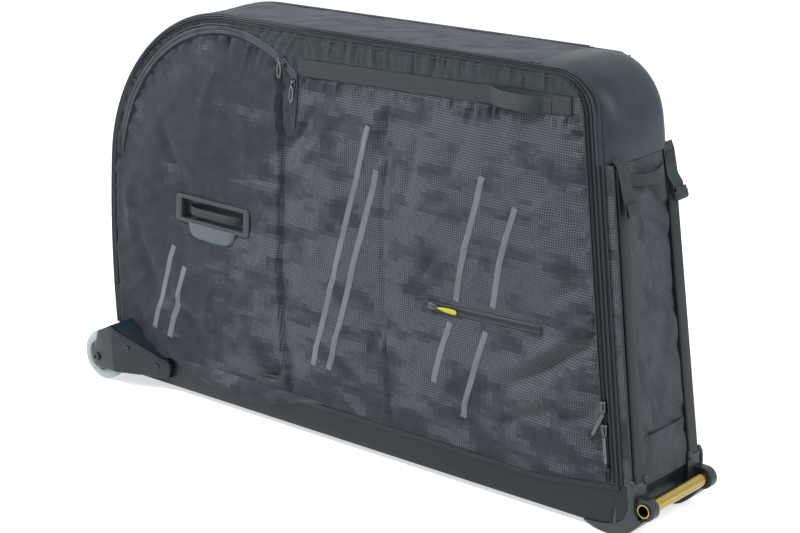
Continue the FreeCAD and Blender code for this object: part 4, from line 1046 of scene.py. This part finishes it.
# Yellow tape folded into a drop, lying along the pocket zip
drop = {"place": (197, 329.8), "start": 12.4, "length": 44, "neck": 2.0, "wider": 2.6, "end": 4.5, "turn": 0.86,
        "rows": 24}
place = sideFrame(*drop["place"], -1)
sliderPiece("pocketSlider", turned(place, 90), 2.4, "pocket_slider")
rows = []
for k in range(drop["rows"] + 1):
    t = k / drop["rows"]
    half = drop["neck"] + drop["wider"] * sin(pi * min(t * 0.72, 0.5))
    if t >= drop["turn"]:
        half = drop["end"] * sqrt(max(1 - ((t - drop["turn"]) / (1 - drop["turn"])) ** 2, 0.02))
    rows.append(inFrame(place, [(drop["start"] + drop["length"] * t, a * half, 6.2 + 0.7 * (1 - a * a))
                                for a in (-1, -0.9, -0.4, 0, 0.4, 0.9, 1)]))
dropTape = rowsPiece("pocketPullTape", rows, out=(0, -1, 0), thick=1.6)
dress(dropTape, "pocket_pull", "yellow_pull", yellowTab, "pocket_pull")
print("sliders made")

# Wheel pocket linings inside: a back wall and a gusset round it
lining = {"inset": (28, 28, 82), "frontX": 60, "aboveHem": 14, "lowZ": 95, "depth": 41, "cell": 9, "thick": 1.2,
          "gussetTop": 8.6, "gusset": (-6, 0, 8, 16, 24, 33.4)}
pocketLoop = clipAbove([p for p in sideView(*lining["inset"]) if p[0] < lining["frontX"]],
                       lambda x: max(hemLine(x) + lining["aboveHem"], lining["lowZ"]))
for side, word, body in sides:
    back = clothPlate("pocketLining." + word, pocketLoop, [],
                      lambda x, z: 1.2 * ripple((x / 60, z / 60, 50)) - lining["depth"], side,
                      cell=lining["cell"], thick=lining["thick"])
    dress(back, body, "lining", liningCloth, "wheel_liner_" + word)
    rows = [[sidePoint(x, z, -lining["gussetTop"] - d - 0.2 * ripple((k / 3, d, 60)), side) for d in lining["gusset"]]
            for k, (x, z) in enumerate(resample(pocketLoop + pocketLoop[:1], 6))]
    gusset = rowsPiece("pocketGussetCloth." + word, rows, thick=lining["thick"])
    dress(gusset, body, "lining", liningCloth, "pocket_gusset_" + word)

# Padded rest for the frame, a stuffed block sewn into cloth
block = {"place": (0.05, 0, 0.0546), "size": (0.22, 0.08, 0.066), "edge": 0.014, "sink": 0.0008}
deselect()
bpy.ops.mesh.primitive_cube_add(size=1, location=block["place"])
rest = newest("frameRest")
rest.scale = block["size"]
bpy.ops.object.transform_apply(location=True, rotation=True, scale=True)
applyModifier(rest, "BEVEL", width=block["edge"], segments=4)
inEditMode(rest, (bpy.ops.mesh.subdivide, {"number_cuts": 3}), (bpy.ops.uv.cube_project, {"cube_size": 1.0}))
rest.data.uv_layers[0].name = "cloth"
for vert in rest.data.vertices:
    vert.co -= vert.normal * (block["sink"] + block["sink"] * ripple(vert.co * 40))
dress(rest, "bag", "pad", padCloth, "frame_pad")
print("inside made")


# A node name that ends in an underscore stands for a left and a right one
def pairOf(stem):
    return sides if stem.endswith("_") else [(0, "", "bag")]


# Moulded and sheet pieces with rounded edges
softened = {
    "base_trims": ("trim", trimRubber, 1.2), "wheel_housing_": ("black_moulding", blackMoulding, 3.0),
    "wheel_cover_": ("black_moulding", blackMoulding, 1.6), "strap_buckle": ("grey_moulding", greyMoulding, 0.9),
    "grip_plate_": ("rubber", rubberPlate, 1.2), "front_strut_": ("trim", trimRubber, 1.4),
}
pillow = {"drop": 3.6, "reach": 11.0, "cell": 6}


def cutAcross(bm, axis, at):
    normal = [float(k == axis) for k in range(3)]
    bmesh.ops.bisect_plane(bm, geom=bm.verts[:] + bm.edges[:] + bm.faces[:], plane_co=[at * mm * n for n in normal],
                           plane_no=normal)


# A cover's outer face falls away towards its outline, like a blown moulding
def pillowed(obj, side):
    bm = bmesh.new()
    bm.from_mesh(obj.data)
    behind = {f for f in bm.faces if f.normal.y * side < -0.9}
    left = {e for e in bm.edges if sum(f in behind for f in e.link_faces) == 1}
    rims = []
    while left:
        stack, rim = [left.pop()], []
        while stack:
            edge = stack.pop()
            rim += [edge.verts[0].co.lerp(edge.verts[1].co, t / 8) for t in range(9)]
            near = {e for v in edge.verts for e in v.link_edges if e in left}
            left -= near
            stack += near
        rims.append(rim)
    outline = max(rims, key=lambda rim: max(p.x for p in rim) - min(p.x for p in rim))
    tree = treeOf([p.xz for p in outline])
    low, high = [pick([v.co for v in bm.verts], 0) / mm for pick in (np.min, np.max)]
    for axis in (0, 2):
        for at in np.arange(low[axis] + 3, high[axis], pillow["cell"]):
            cutAcross(bm, axis, at)
    bm.normal_update()
    for vert in bm.verts:
        if not any(f.normal.y * side < -0.9 for f in vert.link_faces):
            away = tree.find((vert.co.x, 0, vert.co.z))[2] / mm
            vert.co.y -= side * pillow["drop"] * exp(-away / pillow["reach"]) * mm
    bm.to_mesh(obj.data)
    bm.free()


for stem, (slot, material, width) in softened.items():
    for side, word, body in pairOf(stem):
        copy = softenedCopy(stem + word + ".soft", stem + word, width)
        if stem == "wheel_cover_":
            pillowed(copy, side)
        dress(copy, body if stem == "grip_plate_" else "bag", slot, material, stem + word, angle=40)

# The base's nose curves up at the front, inside the feet
nose = {"startX": 585, "endX": 642, "reach": 57.2, "topZ": 42, "rise": 30, "step": 5, "wall": 4, "floorZ": 14}


def noseZ(x):
    return nose["topZ"] - nose["rise"] * sqrt(max(1 - (max(x - nose["startX"], 0) / nose["reach"]) ** 2, 0))


def nosed(name, node, lift, width, slot, material):
    obj = softenedCopy(name, node, width)
    bm = bmesh.new()
    bm.from_mesh(obj.data)
    for x in range(nose["startX"] + 1, nose["endX"], nose["step"]):
        cutAcross(bm, 0, x)
    for vert in bm.verts:
        x, z = vert.co.x / mm, vert.co.z / mm
        if x > nose["startX"] and z < nose["topZ"]:
            inner = lift + (nose["wall"] if z > nose["floorZ"] else 0)
            vert.co.z = max(z, noseZ(x) + inner) * mm
    bm.to_mesh(obj.data)
    bm.free()
    dress(obj, "bag", slot, material, node, angle=40)


nosed("baseTub", "base_tub", 0, 4.0, "base_sheet", baseSheet)
nosed("baseBoard", "base_board", 4.5, 0.4, "board", boardSheet)

# Feet: a runner that curves up round the nose into the ear that holds the tube
foot = {
    "outer": [(548, 11), (568, 4), (588, 0.6), (614, 0.6), (631, 4.5), (647, 15), (661, 29), (672, 42)],
    "cheekBack": [(662, 44), (655, 54), (653, 66), (653, 92), (651, 105), (640, 106), (638, 90), (642, 72), (641, 54),
                  (633, 37), (618, 25), (596, 18), (570, 14), (548, 13)],
    "front": [(643, 34), (650, 28), (662, 36), (652, 70), (650, 104), (642.5, 106)], "lobeRadius": 0.0075,
    "lobes": ((645, -105, 103), (648, -70, 104)), "out": 109.5, "cheek": 6.0, "inner": 66.0, "lap": 0.5, "earX": 0.6515,
}


def roundedPlate(name, outline, yLow, yHigh, edge):
    deselect()
    bpy.ops.mesh.primitive_circle_add(vertices=len(outline), radius=1, fill_type="NGON", location=(0, 0, 0))
    obj = newest(name)
    for vert, (x, z) in zip(obj.data.vertices, outline):
        vert.co = (x * mm, yLow * mm, z * mm)
    depth = {"value": (0, (yHigh - yLow) * mm, 0)}
    inEditMode(obj, (bpy.ops.mesh.extrude_region_move, {"TRANSFORM_OT_translate": depth}),
               (bpy.ops.mesh.normals_make_consistent, {"inside": False}))
    applyModifier(obj, "BEVEL", width=edge * mm, segments=3, limit_method="ANGLE", angle_limit=radians(50))
    return obj


outer = [(p.x, p.z) for p in roundOff([Vector((x, 0, z)) for x, z in foot["outer"]], 2)]
deeper = [(x + (635 - x) * 0.06, z + 8) for x, z in reversed(outer)]
behindCheek = -foot["out"] + foot["cheek"]
pieces = [roundedPlate("frontFoot.left", outer + foot["cheekBack"], -foot["out"], behindCheek, 2.0)]
for name, outline in (("runner", outer + deeper), ("front", foot["front"])):
    pieces.append(roundedPlate(name, outline, behindCheek - foot["lap"], -foot["inner"], 1.8))
for place in foot["lobes"]:
    deselect()
    bpy.ops.mesh.primitive_uv_sphere_add(segments=20, ring_count=12, radius=foot["lobeRadius"],
                                         location=[part * mm for part in place])
    bpy.context.object.scale = (0.8, 0.8, 1.3)
    bpy.ops.object.transform_apply(location=True, rotation=True, scale=True)
    pieces.append(bpy.context.object)
ear = softenedCopy("ear", "front_foot_left", 1.6)
inEditMode(ear, (bpy.ops.mesh.bisect, {"plane_co": (foot["earX"], 0, 0), "plane_no": (1, 0, 0), "clear_inner": True,
                                       "use_fill": True}))
pieces.append(ear)
leftFoot = joinPieces(pieces, "frontFoot.left")
makeActive(leftFoot)
bpy.ops.object.duplicate()
rightFoot = newest("frontFoot.right")
acrossY = {"constraint_axis": (False, True, False), "center_override": (0, 0, 0)}
inEditMode(rightFoot, (bpy.ops.transform.mirror, acrossY), (bpy.ops.mesh.flip_normals, {}))
for obj, word in ((leftFoot, "left"), (rightFoot, "right")):
    dress(obj, "bag", "grey_moulding", greyMoulding, "front_foot_" + word, angle=40)
print("feet made")

# The other rigid pieces keep their CAD shapes and take a finish
finishes = {
    "foot_bolts": screwSteel, "axle_tube": goldTube, "cover_screws": screwSteel, "wheel_axles": screwSteel,
    "wheel_tyre_": wheelTread, "wheel_hub_": wheelCore, "wheel_bearings_": bearingSteel, "strut_rods": glassRod,
}
for stem, material in finishes.items():
    for side, word, body in pairOf(stem):
        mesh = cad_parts[stem + word].data
        mesh.materials.clear()
        mesh.materials.append(material)
print("finishes set")

# Floor, light and camera; floor and sky are brighter where they are seen than where they light the bag
stage = {"floorSize": 40, "floorColour": "#f2f2f2", "floorGlow": 0.62, "skyLight": 0.3, "skySeen": 1.0}
white = (1, 1, 1, 1)


def seenRay(tree):
    path = add(tree, "LightPath", {}).outputs
    seen = path["Is Camera Ray"]
    for kind in ("Is Glossy Ray", "Is Transmission Ray"):
        seen = add(tree, "Math", {0: seen, 1: path[kind]}, operation="MAXIMUM").outputs[0]
    return seen


deselect()
bpy.ops.mesh.primitive_plane_add(size=stage["floorSize"], location=(0, 0, 0))
floor = bpy.context.object
floor.name = "studioFloor"
floorPaint, tree, shader = startMaterial("paleStudioFloor", Roughness=0.9)
glow = add(tree, "Math", {0: seenRay(tree), 1: stage["floorGlow"]}, operation="MULTIPLY")
fill(tree, shader, {"Base Color": linear(stage["floorColour"]), "Emission Color": white, "Emission Strength": glow})
floor.data.materials.append(floorPaint)

world = bpy.data.worlds.new("studioWorld")
scene.world = world
world.use_nodes = True
tree = world.node_tree
tree.nodes.clear()
level = add(tree, "MapRange", {"Value": seenRay(tree), 3: stage["skyLight"], 4: stage["skySeen"]})
sky = add(tree, "Background", {"Color": white, "Strength": level})
add(tree, "OutputWorld", {"Surface": sky})

lampAim = Vector((0, 0, 0.4))
lamps = {
    "keyLamp": {"place": (-2.7, -2.1, 3.3), "size": 1.2, "power": 164},
    "topLamp": {"place": (0.6, -0.8, 4.4), "size": 2.4, "power": 34},
    "frontLamp": {"place": (3.7, -0.4, 3.1), "size": 2.0, "power": 92},
}
for name, lamp in lamps.items():
    bpy.ops.object.light_add(type="AREA", location=lamp["place"])
    made = bpy.context.object
    made.name = name
    made.data.size = lamp["size"]
    made.data.energy = lamp["power"]
    made.rotation_euler = (lampAim - made.location).to_track_quat("-Z", "Y").to_euler()

view = {"place": (2.50052, -2.86825, 1.59576), "down": 18.3, "turn": 40.8, "lens": 93.77, "sensor": 36}
bpy.ops.object.camera_add(location=view["place"])
camera = bpy.context.object
camera.rotation_euler = (radians(90 - view["down"]), 0, radians(view["turn"]))
camera.data.lens = view["lens"]
camera.data.sensor_width = view["sensor"]
scene.camera = camera
scene.view_settings.view_transform = "Standard"
print("stage set")
